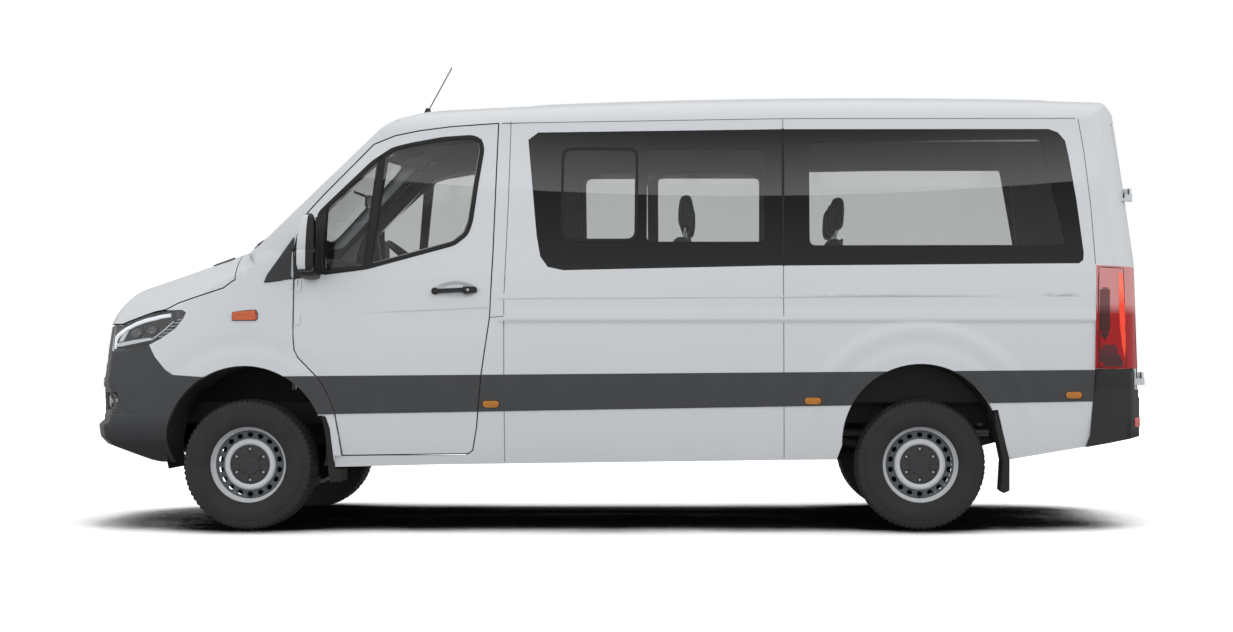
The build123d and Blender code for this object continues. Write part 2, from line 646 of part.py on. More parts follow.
bumper_wall = 50.0
bumper_corner_x = 2943.0
bumper_inner_half = half_width - 62
bumper_step_z = 720.0        # foot step below the rear doors
bumper_step_half = half_width - 130
with BuildPart() as rear_bumper:
    with BuildSketch(Plane.XY.offset(400)):
        with BuildLine():
            # right half of the outline in plan, (x, y) from the side to the back
            outer_edge = [(2560, half_width - 14), (2740, half_width - 10), (2860, half_width - 55),
                          (2925, half_width - 140), (bumper_corner_x, half_width - 230)]
            Polyline(*([(x, -y) for x, y in outer_edge[::-1]] + outer_edge))
            ThreePointArc(outer_edge[-1], (tail_x, 0), (bumper_corner_x, 230 - half_width))
        plan_outline = make_face()
        fillet(plan_outline.vertices().group_by(Axis.X)[2:-1], radius=20)
    extrude(amount=600)
    with BuildSketch(Plane.XY.offset(400)):
        with BuildLine():
            inner_edge = [(2500, bumper_inner_half - 2), (2740, bumper_inner_half), (2800, bumper_inner_half - 43),
                          (bumper_corner_x - bumper_wall, bumper_inner_half - 198)]
            Polyline(*([(x, -y) for x, y in inner_edge[::-1]] + inner_edge), close=True)
        make_face()
    extrude(amount=600, mode=Mode.SUBTRACT)
    add(side_prism(REAR_BUMPER) + side_prism(REAR_BUMPER, -FAR), mode=Mode.INTERSECT)
    add(box_between((2500, -bumper_step_half, bumper_step_z), (3100, bumper_step_half, 1000)), mode=Mode.SUBTRACT)
    add(box_between((2500, -rear_post_y, rear_post_foot_z), (3100, rear_post_y, 1000)), mode=Mode.SUBTRACT)
rear_bumper.part.label = "rear_bumper"
export_step(rear_bumper.part, "parts/rear_bumper.step")

# ================================================================ rear doors
rear_hinge_levels = (825.0, 1840.0)
rear_hinge_x = 2910.0        # hinge axis at waist height
rear_hinge_lean_x = -0.051
rear_hinge_radius = 11.0
rear_pin_radius = 6.0
rear_hinge_length = 70.0
rear_window_low_z = 1450.0
rear_window_high_z = 2120.0
rear_window_inner_y = 95.0
rear_window_side_margin = 110.0
rear_light_margin = 45.0


def rear_hinge_point(z):
    """Point on the left rear door's hinge axis at a height."""
    return Vector(rear_hinge_x + (z - waist_z) * rear_hinge_lean_x, -(rear_seam_y(z) + shut_gap / 2), z)


def rear_barrel(z, radius, low, high):
    """Stretch of the leaning hinge barrel around height z, from low to high."""
    return rod(rear_hinge_point(z + low), rear_hinge_point(z + high), radius)


def rear_window_prism(shrink):
    """Rear window outline in the rear view, left door."""
    low, high = rear_window_low_z + shrink, rear_window_high_z - shrink
    with BuildPart() as prism:
        with BuildSketch(Plane.YZ.offset(2600)):
            with BuildLine():
                Polyline((-rear_window_inner_y - shrink, low),
                         (-rear_seam_y(low) + rear_window_side_margin + shrink, low),
                         (-rear_seam_y(high) + rear_window_side_margin + shrink, high),
                         (-rear_window_inner_y - shrink, high), close=True)
            outline = make_face()
            fillet(outline.vertices(), radius=45)
        extrude(amount=600)
    return prism.part


def rear_leaf(z, low, high, outward):
    """Hinge leaf between the barrel and the rear face, towards the post or towards the door."""
    point = rear_hinge_point(z)
    near, far = point.Y, point.Y + (-50 if outward else 50)
    return box_between((point.X - 90, min(near, far), z + low), (point.X + 4, max(near, far), z + high))


with BuildPart() as rear_door_left:
    add(cab_shell)
    add(rear_prism(0), mode=Mode.INTERSECT)
    add(rear_window_prism(rear_light_margin), mode=Mode.SUBTRACT)
    add(rebate_skin & rear_window_prism(0), mode=Mode.SUBTRACT)
    for z in rear_hinge_levels:
        add(rear_leaf(z, 1, rear_hinge_length / 2, False) - cab_outer)
        add(rear_barrel(z, rear_hinge_radius, 1, rear_hinge_length / 2))
        add(rear_barrel(z, rear_pin_radius + running_clearance, -rear_hinge_length, rear_hinge_length),
            mode=Mode.SUBTRACT)
rear_door_left.part.label = "rear_door_left"
export_step(rear_door_left.part, "parts/rear_door_left.step")

with BuildPart() as rear_door_right:
    mirror(rear_door_left.part, about=Plane.XZ)
rear_door_right.part.label = "rear_door_right"
export_step(rear_door_right.part, "parts/rear_door_right.step")

with BuildPart() as rear_window_left:
    add(glass_skin & rear_window_prism(0))
rear_window_left.part.label = "rear_window_left"
export_step(rear_window_left.part, "parts/rear_window_left.step")

with BuildPart() as rear_window_right:
    mirror(rear_window_left.part, about=Plane.XZ)
rear_window_right.part.label = "rear_window_right"
export_step(rear_window_right.part, "parts/rear_window_right.step")

with BuildPart() as rear_door_hinges:
    for z in rear_hinge_levels:
        lower_half = rear_leaf(z, -rear_hinge_length / 2, 0.3, True) - cab_outer
        barrel = rear_barrel(z, rear_hinge_radius, -rear_hinge_length / 2, 0.3)
        pin = rear_barrel(z, rear_pin_radius, 0, rear_hinge_length / 2)
        for hinge_piece in (lower_half, barrel, pin):
            add(hinge_piece)
            add(mirror(hinge_piece, about=Plane.XZ, mode=Mode.PRIVATE))
rear_door_hinges.part.label = "rear_door_hinges"
export_step(rear_door_hinges.part, "parts/rear_door_hinges.step")

# ================================================================ wheels
spindle_end_y = wheel_centre_y + 50
rim_disc_thickness = 12.0
rim_barrel_thickness = 8.0
WHEELS = [
    # name, x, side
    ("front_left", axle_front_x, -1),
    ("front_right", axle_front_x, 1),
    ("rear_left", axle_rear_x, -1),
    ("rear_right", axle_rear_x, 1),
]
axle_z = tyre_radius
for wheel_name, wheel_x, side in WHEELS:
    # local x is the radius, local y points outboard
    profile_plane = Plane(origin=(wheel_x, side * wheel_centre_y, axle_z), x_dir=(1, 0, 0), z_dir=(0, 0, side))
    wheel_axis = Axis((wheel_x, side * wheel_centre_y, axle_z), (0, 1, 0))
    half_tyre = tyre_width / 2
    tread_edge = half_tyre - 37.5
    tread_flat = tread_edge / 2
    seat = tyre_bead_radius + 0.2
    with BuildPart() as tyre:
        with BuildSketch(profile_plane):
            with BuildLine():
                Polyline((seat, -rim_half_width + 6), (rim_flange_radius + 0.4, -rim_half_width + 5.7),
                         (rim_flange_radius + 4, -rim_half_width - 4))
                ThreePointArc((rim_flange_radius + 4, -rim_half_width - 4), (282, -half_tyre),
                              (335, -half_tyre + 17))
                ThreePointArc((335, -half_tyre + 17), (350, -half_tyre + 28), (tyre_radius - 1.5, -tread_edge))
                Line((tyre_radius - 1.5, -tread_edge), (tyre_radius, -tread_flat))
                Line((tyre_radius, -tread_flat), (tyre_radius, tread_flat))
                Line((tyre_radius, tread_flat), (tyre_radius - 1.5, tread_edge))
                ThreePointArc((tyre_radius - 1.5, tread_edge), (350, half_tyre - 28), (335, half_tyre - 17))
                ThreePointArc((335, half_tyre - 17), (282, half_tyre), (rim_flange_radius + 4, rim_half_width + 4))
                Polyline((rim_flange_radius + 4, rim_half_width + 4),
                         (rim_flange_radius + 0.4, rim_half_width - 5.7), (seat, rim_half_width - 6),
                         (seat, -rim_half_width + 6))
            make_face()
        revolve(axis=wheel_axis)
    tyre.part.label = "tyre_" + wheel_name
    export_step(tyre.part, "parts/tyre_%s.step" % wheel_name)

    disc_in = hub_face_y - rim_disc_thickness
    inner_barrel = tyre_bead_radius - rim_barrel_thickness
    with BuildPart() as rim:
        with BuildSketch(profile_plane):
            with BuildLine():
                Polyline((spindle_radius + running_clearance, 0), (spindle_radius + running_clearance, 48),
                         (110, 62), (138, 62), (150, 46), (176, 40), (inner_barrel, 52),
                         (inner_barrel, rim_half_width - 2),
                         (rim_flange_radius, rim_half_width), (rim_flange_radius, rim_half_width - 5),
                         (tyre_bead_radius, rim_half_width - 5.5), (tyre_bead_radius, -rim_half_width + 5.5),
                         (rim_flange_radius, -rim_half_width + 5), (rim_flange_radius, -rim_half_width),
                         (inner_barrel, -rim_half_width + 2), (inner_barrel, 34), (176, 26), (150, 30), (128, 46),
                         (60, 30), (60, 0), close=True)
            make_face()
        revolve(axis=wheel_axis)
    rim.part.label = "rim_" + wheel_name
    export_step(rim.part, "parts/rim_%s.step" % wheel_name)

# ================================================================ running gear
chassis_rail_front_x = -2700.0
chassis_rail_rear_x = 2790.0
knuckle_top_z = 490.0
knuckle_bottom_z = 223.0
kingpin_depth = 40.0
strut_y = steer_axis_y - 110
strut_radius = 30.0
spring_y = wheel_centre_y - 265
axle_tube_radius = 48.0
axle_tube_end_y = wheel_centre_y - 55
for side_name, side in (("left", -1), ("right", 1)):
    with BuildPart() as knuckle:
        low_y, high_y = sorted((side * (steer_axis_y - 25), side * (steer_axis_y + 40)))
        add(box_between((axle_front_x - 34, low_y, knuckle_bottom_z), (axle_front_x + 34, high_y, knuckle_top_z)))
        add(rod((axle_front_x, side * (steer_axis_y + 30), axle_z),
                (axle_front_x, side * spindle_end_y, axle_z), spindle_radius))
        for low, high in ((knuckle_bottom_z - 1, knuckle_bottom_z + kingpin_depth),
                          (knuckle_top_z - kingpin_depth, knuckle_top_z + 1)):
            add(rod((axle_front_x, side * steer_axis_y, low), (axle_front_x, side * steer_axis_y, high),
                    kingpin_radius + running_clearance), mode=Mode.SUBTRACT)
    knuckle.part.label = "knuckle_" + side_name
    export_step(knuckle.part, "parts/knuckle_%s.step" % side_name)

with BuildPart() as front_suspension:
    add(box_between((axle_front_x - 120, -rail_inner_y, 170), (axle_front_x + 120, rail_inner_y, 222)))
    for side in (-1, 1):
        low_y, high_y = sorted((side * rail_inner_y, side * (rail_inner_y + rail_width)))
        add(box_between((axle_front_x - 60, low_y, 170), (axle_front_x + 60, high_y, rail_bottom)))
        low_y, high_y = sorted((side * (rail_inner_y - 10), side * (steer_axis_y + 30)))
        add(box_between((axle_front_x - 32, low_y, 192), (axle_front_x + 32, high_y, knuckle_bottom_z - 0.3)))
        add(rod((axle_front_x, side * steer_axis_y, 200),
                (axle_front_x, side * steer_axis_y, knuckle_bottom_z + kingpin_depth - 3), kingpin_radius))
        low_y, high_y = sorted((side * (strut_y - 30), side * (steer_axis_y + 25)))
        add(box_between((axle_front_x - 28, low_y, knuckle_top_z + 0.3), (axle_front_x + 28, high_y, 515)))
        add(rod((axle_front_x, side * steer_axis_y, knuckle_top_z - kingpin_depth + 3),
                (axle_front_x, side * steer_axis_y, 510), kingpin_radius))
        add(rod((axle_front_x, side * strut_y, 505), (axle_front_x, side * strut_y, 660), strut_radius))
        low_y, high_y = sorted((side * (rail_inner_y + rail_width), side * (strut_y + 35)))
        add(box_between((axle_front_x - 40, low_y, 640), (axle_front_x + 40, high_y, 665)))
front_suspension.part.label = "front_suspension"
export_step(front_suspension.part, "parts/front_suspension.step")

with BuildPart() as rear_axle:
    add(rod((axle_rear_x, -axle_tube_end_y, axle_z), (axle_rear_x, axle_tube_end_y, axle_z), axle_tube_radius))
    add(rod((axle_rear_x, -spindle_end_y, axle_z), (axle_rear_x, spindle_end_y, axle_z), spindle_radius))
    add(rod((axle_rear_x - 150, 0, axle_z), (axle_rear_x + 130, 0, axle_z), 120))
    add(rod((axle_rear_x - 240, 0, axle_z), (axle_rear_x - 140, 0, axle_z), 60))
rear_axle.part.label = "rear_axle"
export_step(rear_axle.part, "parts/rear_axle.step")

spring_rise = 120.0
spring_half_length = 620.0
spring_thickness = 36.0
spring_width = 70.0
with BuildPart() as leaf_springs:
    seat_z = axle_z + axle_tube_radius
    for side in (-1, 1):
        with BuildSketch(Plane.XZ.offset(-side * spring_y - spring_width / 2)):
            with BuildLine():
                ThreePointArc((axle_rear_x - spring_half_length, seat_z + spring_rise), (axle_rear_x, seat_z + 0.1),
                              (axle_rear_x + spring_half_length, seat_z + spring_rise))
                Line((axle_rear_x + spring_half_length, seat_z + spring_rise),
                     (axle_rear_x + spring_half_length, seat_z + spring_rise + spring_thickness))
                ThreePointArc((axle_rear_x + spring_half_length, seat_z + spring_rise + spring_thickness),
                              (axle_rear_x, seat_z + spring_thickness),
                              (axle_rear_x - spring_half_length, seat_z + spring_rise + spring_thickness))
                Line((axle_rear_x - spring_half_length, seat_z + spring_rise + spring_thickness),
                     (axle_rear_x - spring_half_length, seat_z + spring_rise))
            make_face()
        extrude(amount=spring_width)
        for end in (-1, 1):
            x = axle_rear_x + end * (spring_half_length - 15)
            y = side * spring_y
            add(box_between((x - 20, y - spring_width / 2, seat_z + spring_rise),
                            (x + 20, y + spring_width / 2, rail_top)))
leaf_springs.part.label = "leaf_springs"
export_step(leaf_springs.part, "parts/leaf_springs.step")

# ================================================================ floor, frame, drive line
rear_box_inner_y = wheel_centre_y - 215
wheel_box_radius = REAR_ARCH[2] + 15
with BuildPart() as floor_pan:
    with BuildSketch(Plane.XY.offset(rail_top)):
        with BuildLine():
            Polyline((bulkhead_x + bulkhead_thickness, -footwell_half), (-1500, -footwell_half), (-1500, -floor_half),
                     (2735, -floor_half), (2735, floor_half), (-1500, floor_half), (-1500, footwell_half),
                     (bulkhead_x + bulkhead_thickness, footwell_half), close=True)
        make_face()
    extrude(amount=floor_thickness)
    for side in (-1, 1):
        low_y, high_y = sorted((side * rear_box_inner_y, side * floor_half))
        add(rod((REAR_ARCH[0], low_y, REAR_ARCH[1]), (REAR_ARCH[0], high_y, REAR_ARCH[1]), wheel_box_radius)
            - box_between((0, -1000, -200), (3000, 1000, rail_top)))
    for side in (-1, 1):
        low_y, high_y = sorted((side * (rear_box_inner_y + 15), side * (floor_half + 5)))
        add(rod((REAR_ARCH[0], low_y, REAR_ARCH[1]), (REAR_ARCH[0], high_y, REAR_ARCH[1]), REAR_ARCH[2]),
            mode=Mode.SUBTRACT)
    # sill flanges that carry the body sides
    for side in (-1, 1):
        low_y, high_y = sorted((side * (floor_half - 5), side * (floor_half + 30)))
        add(box_between((-1480, low_y, rail_top), (1200, high_y, floor_z)) - cab_shell)
floor_pan.part.label = "floor_pan"
export_step(floor_pan.part, "parts/floor_pan.step")

tow_bolt_x = 2600.0
tow_bolt_spacing_x = 200.0
tow_bolt_radius = 6.5
tow_bolt_depth = 60.0
front_beam_half = half_width - 310
rear_beam_half = half_width - 220
with BuildPart() as chassis_frame:
    for side in (-1, 1):
        low_y, high_y = sorted((side * rail_inner_y, side * (rail_inner_y + rail_width)))
        add(box_between((chassis_rail_front_x, low_y, rail_bottom), (chassis_rail_rear_x, high_y, rail_top)))
    for x in (chassis_rail_front_x, -2150, -1180, -300, 620, 1180, 2350):
        add(box_between((x, -rail_inner_y, rail_bottom + 20), (x + 70, rail_inner_y, rail_top - 20)))
    add(box_between((chassis_rail_front_x - 40, -front_beam_half, rail_bottom),
                    (chassis_rail_front_x, front_beam_half, rail_top)))
    add(box_between((chassis_rail_rear_x, -rear_beam_half, rail_bottom),
                    (chassis_rail_rear_x + 50, rear_beam_half, rail_top + 20)))
    for x in (tow_bolt_x - tow_bolt_spacing_x / 2, tow_bolt_x + tow_bolt_spacing_x / 2):
        for y in (-rail_inner_y - rail_width / 2, rail_inner_y + rail_width / 2):
            add(rod((x, y, rail_bottom - 5), (x, y, rail_bottom + tow_bolt_depth), tow_bolt_radius),
                mode=Mode.SUBTRACT)
chassis_frame.part.label = "chassis_frame"
export_step(chassis_frame.part, "parts/chassis_frame.step")

with BuildPart() as engine_block:
    add(box_between((-2430, -265, rail_top - 20), (-1780, 265, 1120)))
    add(box_between((-2080, -150, 440), (-1250, 150, rail_top - 60)))
    add(box_between((-2080, -150, 440), (-1860, 150, rail_top)))
engine_block.part.label = "engine_block"
export_step(engine_block.part, "parts/engine_block.step")

with BuildPart() as propeller_shaft:
    add(rod((-1247.4, 0, 530), (axle_rear_x - 242.5, 0, axle_z + 8), 35))
propeller_shaft.part.label = "propeller_shaft"
export_step(propeller_shaft.part, "parts/propeller_shaft.step")

with BuildPart() as fuel_tank:
    add(box_between((-500, 120 - half_width, 400), (560, -rail_inner_y - 100, rail_top)))
    fillet(fuel_tank.edges().filter_by(Axis.X), radius=40)
fuel_tank.part.label = "fuel_tank"
export_step(fuel_tank.part, "parts/fuel_tank.step")

with BuildPart() as exhaust:
    add(rod((-1700, 330, 500), (2250, 330, 500), 30))
    add(rod((-200, 330, 500), (600, 330, 500), 62))
    for x in (-1000, 1000, 2200):
        add(box_between((x - 15, 320, 500), (x + 15, 340, rail_top)))
exhaust.part.label = "exhaust"
export_step(exhaust.part, "parts/exhaust.step")

with BuildPart() as mud_flaps:
    for side in (-1, 1):
        low_y, high_y = sorted((side * (half_width - 200), side * (half_width - 25)))
        with BuildSketch(Plane.XZ.offset(-low_y)):
            with BuildLine():
                Polyline((-1545, 626.5), (-1515.5, 619.5), (-1493.5, 555), (-1474.5, 393), (-1470.6, 369),
                         (-1470.6, 338), (-1435, 334), (-1437, 266), (-1500, 262), (-1512, 393), (-1519, 493),
                         (-1530, 560), close=True)
            make_face()
            with BuildLine():
                Polyline((2112, 655.5), (2130.5, 655.5), (2196.5, 380), (2196, 216), (2165, 203), (2150, 216),
                         (2160, 380), (2122, 560), close=True)
            make_face()
        extrude(amount=low_y - high_y)
mud_flaps.part.label = "mud_flaps"
export_step(mud_flaps.part, "parts/mud_flaps.step")

liner_thickness = 6.0
with BuildPart() as arch_liners:
    for side in (-1, 1):
        low_y, high_y = sorted((side * cowl_half, side * (half_width - 85)))
        x, z, radius = FRONT_ARCH
        outer = rod((x, low_y, z), (x, high_y, z), radius + liner_thickness)
        inner = rod((x, low_y - 5, z), (x, high_y + 5, z), radius)
        add(outer - inner - box_between((-3000, -1200, -100), (0, 1200, 740))
            - box_between((bulkhead_x - 0.3, -1200, -100), (0, 1200, 2000)))
arch_liners.part.label = "arch_liners"
export_step(arch_liners.part, "parts/arch_liners.step")

# ================================================================ cabin
dashboard_half = half_width - 220
with BuildPart() as dashboard:
    with BuildSketch(Plane.XZ.offset(-dashboard_half)):
        with BuildLine():
            Polyline((-1695, 1100), (-1695, 1462), (-1560, 1478), (-1400, 1440), (-1330, 1330), (-1360, 1180),
                     (-1480, 1080), close=True)
        make_face()
    extrude(amount=2 * dashboard_half)
dashboard.part.label = "dashboard"
export_step(dashboard.part, "parts/dashboard.step")

wheel_centre = Vector(-1120, 550 - half_width, 1480)
wheel_normal = Vector(0.62, 0, 0.78).normalized()
steering_rim_radius = 185.0
column_length = 345.0
with BuildPart() as steering_wheel:
    rim_section = wheel_centre + Vector(-0.78, 0, 0.62) * steering_rim_radius
    with BuildSketch(Plane(origin=rim_section, x_dir=(0, 0, 1), z_dir=(0, 1, 0))):
        Circle(15)
    revolve(axis=Axis(wheel_centre, wheel_normal))
    with BuildSketch(Plane(origin=wheel_centre, x_dir=(0, 1, 0), z_dir=wheel_normal)):
        Circle(60)
        Rectangle(2 * steering_rim_radius, 34)
        with Locations((0, 92)):
            Rectangle(34, 186)
    extrude(amount=12, both=True)
    add(rod(wheel_centre, wheel_centre - wheel_normal * column_length, 24) - dashboard.part)
steering_wheel.part.label = "steering_wheel"
export_step(steering_wheel.part, "parts/steering_wheel.step")


def seat_bank(x, low_y, high_y, places, base_z):
    """Row of seats facing forwards: x is the front of the cushion."""
    width = high_y - low_y
    pitch = width / places
    with BuildPart() as bank:
        add(box_between((x + 60, low_y + 40, floor_z), (x + 380, high_y - 40, base_z)))
        add(box_between((x, low_y, base_z), (x + 480, high_y, base_z + 120)))
        with BuildSketch(Plane.XZ.offset(-low_y)):
            with BuildLine():
                Polyline((x + 380, base_z + 100), (x + 490, base_z + 100), (x + 545, base_z + 570),
                         (x + 455, base_z + 570), close=True)
            make_face()
        extrude(amount=low_y - high_y)
        for place in range(places):
            middle = low_y + pitch * (place + 0.5)
            with BuildSketch(Plane.XZ.offset(-(middle - 130))):
                with BuildLine():
                    Polyline((x + 460, base_z + 565), (x + 535, base_z + 565), (x + 545, base_z + 800),
                             (x + 480, base_z + 800), close=True)
                make_face()
            extrude(amount=-260)
    return bank.part


seat_base_z = 1060.0
seat_outer_y = half_width - 200
with BuildPart() as front_seats:
    add(seat_bank(-1040, -seat_outer_y, -280, 1, seat_base_z))
    add(seat_bank(-1040, -80, seat_outer_y, 2, seat_base_z))
front_seats.part.label = "front_seats"
export_step(front_seats.part, "parts/front_seats.step")

with BuildPart() as rear_seats:
    add(seat_bank(-90, -seat_outer_y, half_width - 500, 3, seat_base_z))
    add(seat_bank(770, 10 - rear_box_inner_y, rear_box_inner_y - 10, 3, seat_base_z))
rear_seats.part.label = "rear_seats"
export_step(rear_seats.part, "parts/rear_seats.step")

with BuildPart() as antenna:
    add(Pos(-1044, -450, 2340) * Cone(28, 12, 44, mode=Mode.PRIVATE) - cab_outer)
    add(rod((-1040, -450, 2350), (-907, -450, 2594), 3))
antenna.part.label = "antenna"
export_step(antenna.part, "parts/antenna.step")
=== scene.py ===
"""High-riding white passenger van with grey side cladding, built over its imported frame."""
import math

import bmesh
import bpy
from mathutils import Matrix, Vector
from mathutils.bvhtree import BVHTree


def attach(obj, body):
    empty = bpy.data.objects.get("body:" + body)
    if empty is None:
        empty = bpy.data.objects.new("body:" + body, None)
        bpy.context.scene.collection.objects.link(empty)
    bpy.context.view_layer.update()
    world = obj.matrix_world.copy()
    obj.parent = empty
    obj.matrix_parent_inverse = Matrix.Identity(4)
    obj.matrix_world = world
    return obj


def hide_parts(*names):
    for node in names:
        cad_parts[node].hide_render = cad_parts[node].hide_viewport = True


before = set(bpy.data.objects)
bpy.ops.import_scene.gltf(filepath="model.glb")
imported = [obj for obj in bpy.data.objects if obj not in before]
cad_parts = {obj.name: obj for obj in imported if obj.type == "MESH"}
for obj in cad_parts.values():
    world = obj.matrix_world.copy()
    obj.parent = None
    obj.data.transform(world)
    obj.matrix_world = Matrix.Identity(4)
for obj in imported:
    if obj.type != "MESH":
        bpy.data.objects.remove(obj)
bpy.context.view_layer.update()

# ---------------------------------------------------------------- studio
# A pale floor that fades to white, with a painted shadow under the van, a soft sky with one
# bright band low over the horizon, and a wide softbox overhead. The camera stands level with the wheel
# arches.
camera = bpy.data.objects.new("camera", bpy.data.cameras.new("camera"))
bpy.context.collection.objects.link(camera)
camera.location = (0.66, -11.77, 0.90)
camera.rotation_euler = (math.radians(90), 0, 0)
camera.data.lens = 58.0
camera.data.shift_x, camera.data.shift_y = -0.0896, 0.0397
bpy.context.scene.camera = camera
bpy.context.scene.view_settings.view_transform = "Standard"


def add_node(tree, kind, values=(), **settings):
    """A shader node: settings are its properties, values its input sockets (a socket links)."""
    made = tree.nodes.new("ShaderNode" + kind)
    for key, value in settings.items():
        setattr(made, key, value)
    for key, value in dict(values).items():
        if isinstance(value, bpy.types.NodeSocket):
            tree.links.new(value, made.inputs[key])
        else:
            made.inputs[key].default_value = value
    return made


def colour_steps(tree, source, steps):
    """A colour ramp over (place, grey) steps."""
    ramp = add_node(tree, "ValToRGB", {"Fac": source})
    band = ramp.color_ramp
    for place, grey in steps[1:-1]:
        band.elements.new(place)
    for element, (place, grey) in zip(band.elements, steps):
        element.position, element.color = place, (grey, grey, grey, 1)
    return ramp.outputs["Color"]


def seen_through(tree):
    """The light path's outputs, and 1 for a ray from the camera, through glass or not."""
    rays = add_node(tree, "LightPath").outputs
    seen = add_node(tree, "Math", {0: rays["Is Camera Ray"], 1: rays["Is Transmission Ray"]},
                    operation="MAXIMUM")
    return rays, seen.outputs[0]


world = bpy.data.worlds.new("studio")
bpy.context.scene.world = world
world.use_nodes = True
sky = world.node_tree
sky.nodes.clear()
way = add_node(sky, "TexCoord")
up = add_node(sky, "SeparateXYZ", {"Vector": way.outputs["Generated"]}).outputs["Z"]
lift = add_node(sky, "MapRange", {"Value": up, "From Min": -1.0, "From Max": 1.0})
# brightness from straight down to straight up
SHED = [(0.0, 0.9), (0.5, 1.98), (0.75, 1.30), (1.0, 0.75)]
FLOOR_END, HORIZON, WALL_TOP = 0.385, 0.4214, 0.449     # heights in what the side windows mirror
below = add_node(sky, "MapRange", {"Value": up, "From Min": FLOOR_END, "From Max": HORIZON, "To Min": 0.50,
                                   "To Max": 0.12})
above = add_node(sky, "MapRange", {"Value": up, "From Min": HORIZON, "From Max": WALL_TOP, "To Min": 2.3,
                                   "To Max": 0.42})
over = add_node(sky, "Math", {0: up, 1: HORIZON}, operation="GREATER_THAN")
wall_edge = add_node(sky, "MixRGB", {"Fac": over.outputs[0], "Color1": below.outputs[0],
                                     "Color2": above.outputs[0]})
mirrored = add_node(sky, "Background", {"Color": wall_edge.outputs[0]})
shed = add_node(sky, "Background", {"Color": colour_steps(sky, lift.outputs["Result"], SHED)})
white_wall = add_node(sky, "Background", {"Color": (1, 1, 1, 1)})
rays, seen = seen_through(sky)
studio_light = add_node(sky, "MixShader", {0: rays["Is Glossy Ray"], 1: shed.outputs[0],
                                           2: mirrored.outputs[0]})
either = add_node(sky, "MixShader", {0: seen, 1: studio_light.outputs[0], 2: white_wall.outputs[0]})
add_node(sky, "OutputWorld", {"Surface": either.outputs[0]})

softbox = bpy.data.objects.new("softbox", bpy.data.lights.new("softbox", "AREA"))
bpy.context.collection.objects.link(softbox)
softbox.location = (0, 0, 6.5)
softbox.data.shape, softbox.data.size, softbox.data.size_y = "RECTANGLE", 9.0, 5.0
softbox.data.energy = 47

floor_mesh = bpy.data.meshes.new("floor")
FLOOR = 60.0
floor_mesh.from_pydata([(-FLOOR, -FLOOR, 0), (FLOOR, -FLOOR, 0), (FLOOR, FLOOR, 0), (-FLOOR, FLOOR, 0)], [],
                       [(0, 1, 2, 3)])
studio_floor = bpy.data.objects.new("floor", floor_mesh)
bpy.context.collection.objects.link(studio_floor)
floor_paint = bpy.data.materials.new("pale_floor")
floor_paint.use_nodes = True
tree = floor_paint.node_tree
tree.nodes.clear()
rays, seen = seen_through(tree)
lit = add_node(tree, "BsdfDiffuse", {"Color": (0.35, 0.35, 0.36, 1)})
# Painted shadow: the floor that the camera sees is darkened by ambient occlusion under and round the van,
# on top of the real shadow from the lights.
openness = add_node(tree, "AmbientOcclusion", {"Distance": 0.9}, samples=16)
shade = add_node(tree, "MapRange", {"Value": openness.outputs["AO"], "From Min": 0.58, "From Max": 0.79,
                                    "To Min": 0.01, "To Max": 1.35}, interpolation_type="SMOOTHSTEP")
bright = add_node(tree, "BsdfDiffuse", {"Color": shade.outputs[0]})
either = add_node(tree, "MixShader", {0: seen, 1: lit.outputs[0], 2: bright.outputs[0]})
add_node(tree, "OutputMaterial", {"Surface": either.outputs[0]})
floor_mesh.materials.append(floor_paint)

# ---------------------------------------------------------------- white body panels
# Pressed steel panels in gloss white. Below the windows the sides carry a sharp swage, a
# shallow recess and rounded flares round the wheel arches, pressed in after the panel is cut.


def effect_group(name, inputs, outputs):
    """An empty node group: inputs are (name, default) and outputs (name, socket type)."""
    group = bpy.data.node_groups.new(name, "ShaderNodeTree")
    for key, value in inputs:
        kind = "NodeSocketColor" if isinstance(value, tuple) else "NodeSocketFloat"
        socket = group.interface.new_socket(key, in_out="INPUT", socket_type=kind)
        socket.default_value = value
    for key, kind in outputs:
        group.interface.new_socket(key, in_out="OUTPUT", socket_type="NodeSocket" + kind)
    return group, group.nodes.new("NodeGroupInput").outputs, group.nodes.new("NodeGroupOutput").inputs


def finish(name, effect, values=(), **sockets):
    """A material of an effect group; sockets are even values on its shader."""
    made = bpy.data.materials.new(name)
    made.use_nodes = True
    tree = made.node_tree
    shader = tree.nodes["Principled BSDF"]
    for key, value in sockets.items():
        shader.inputs[key.replace("_", " ")].default_value = value
    group = tree.nodes.new("ShaderNodeGroup")
    group.node_tree = effect
    for key, value in dict(values).items():
        group.inputs[key].default_value = value
    for key in [s.name for s in group.outputs]:
        tree.links.new(group.outputs[key], shader.inputs["Base Color" if key == "Colour" else key])
    made.diffuse_color = shader.inputs["Base Color"].default_value
    return made


paint_flow, given, out = effect_group(
    "paint_flow", [("Paint", (0.6, 0.6, 0.6, 1)), ("Dust", (0.4, 0.37, 0.33, 1)), ("Dust Height", 0.5),
                   ("Peel", 0.00002), ("Roughness", 0.2)],
    [("Colour", "Color"), ("Roughness", "Float"), ("Normal", "Vector")])
place = add_node(paint_flow, "TexCoord").outputs["Object"]
level = add_node(paint_flow, "SeparateXYZ", {"Vector": place}).outputs["Z"]
drift = add_node(paint_flow, "TexNoise", {"Vector": place, "Scale": 1.3, "Detail": 2.0})
toned = add_node(paint_flow, "HueSaturation", {
    "Color": given["Paint"],
    "Value": add_node(paint_flow, "MapRange", {"Value": drift.outputs[0], "To Min": 0.975,
                                               "To Max": 1.02}).outputs[0]})
specks = add_node(paint_flow, "TexNoise", {"Vector": place, "Scale": 90.0, "Detail": 4.0})
near_road = add_node(paint_flow, "MapRange", {
    "Value": level, "From Min": 0.30, "From Max": given["Dust Height"], "To Min": 0.22, "To Max": 0.0})
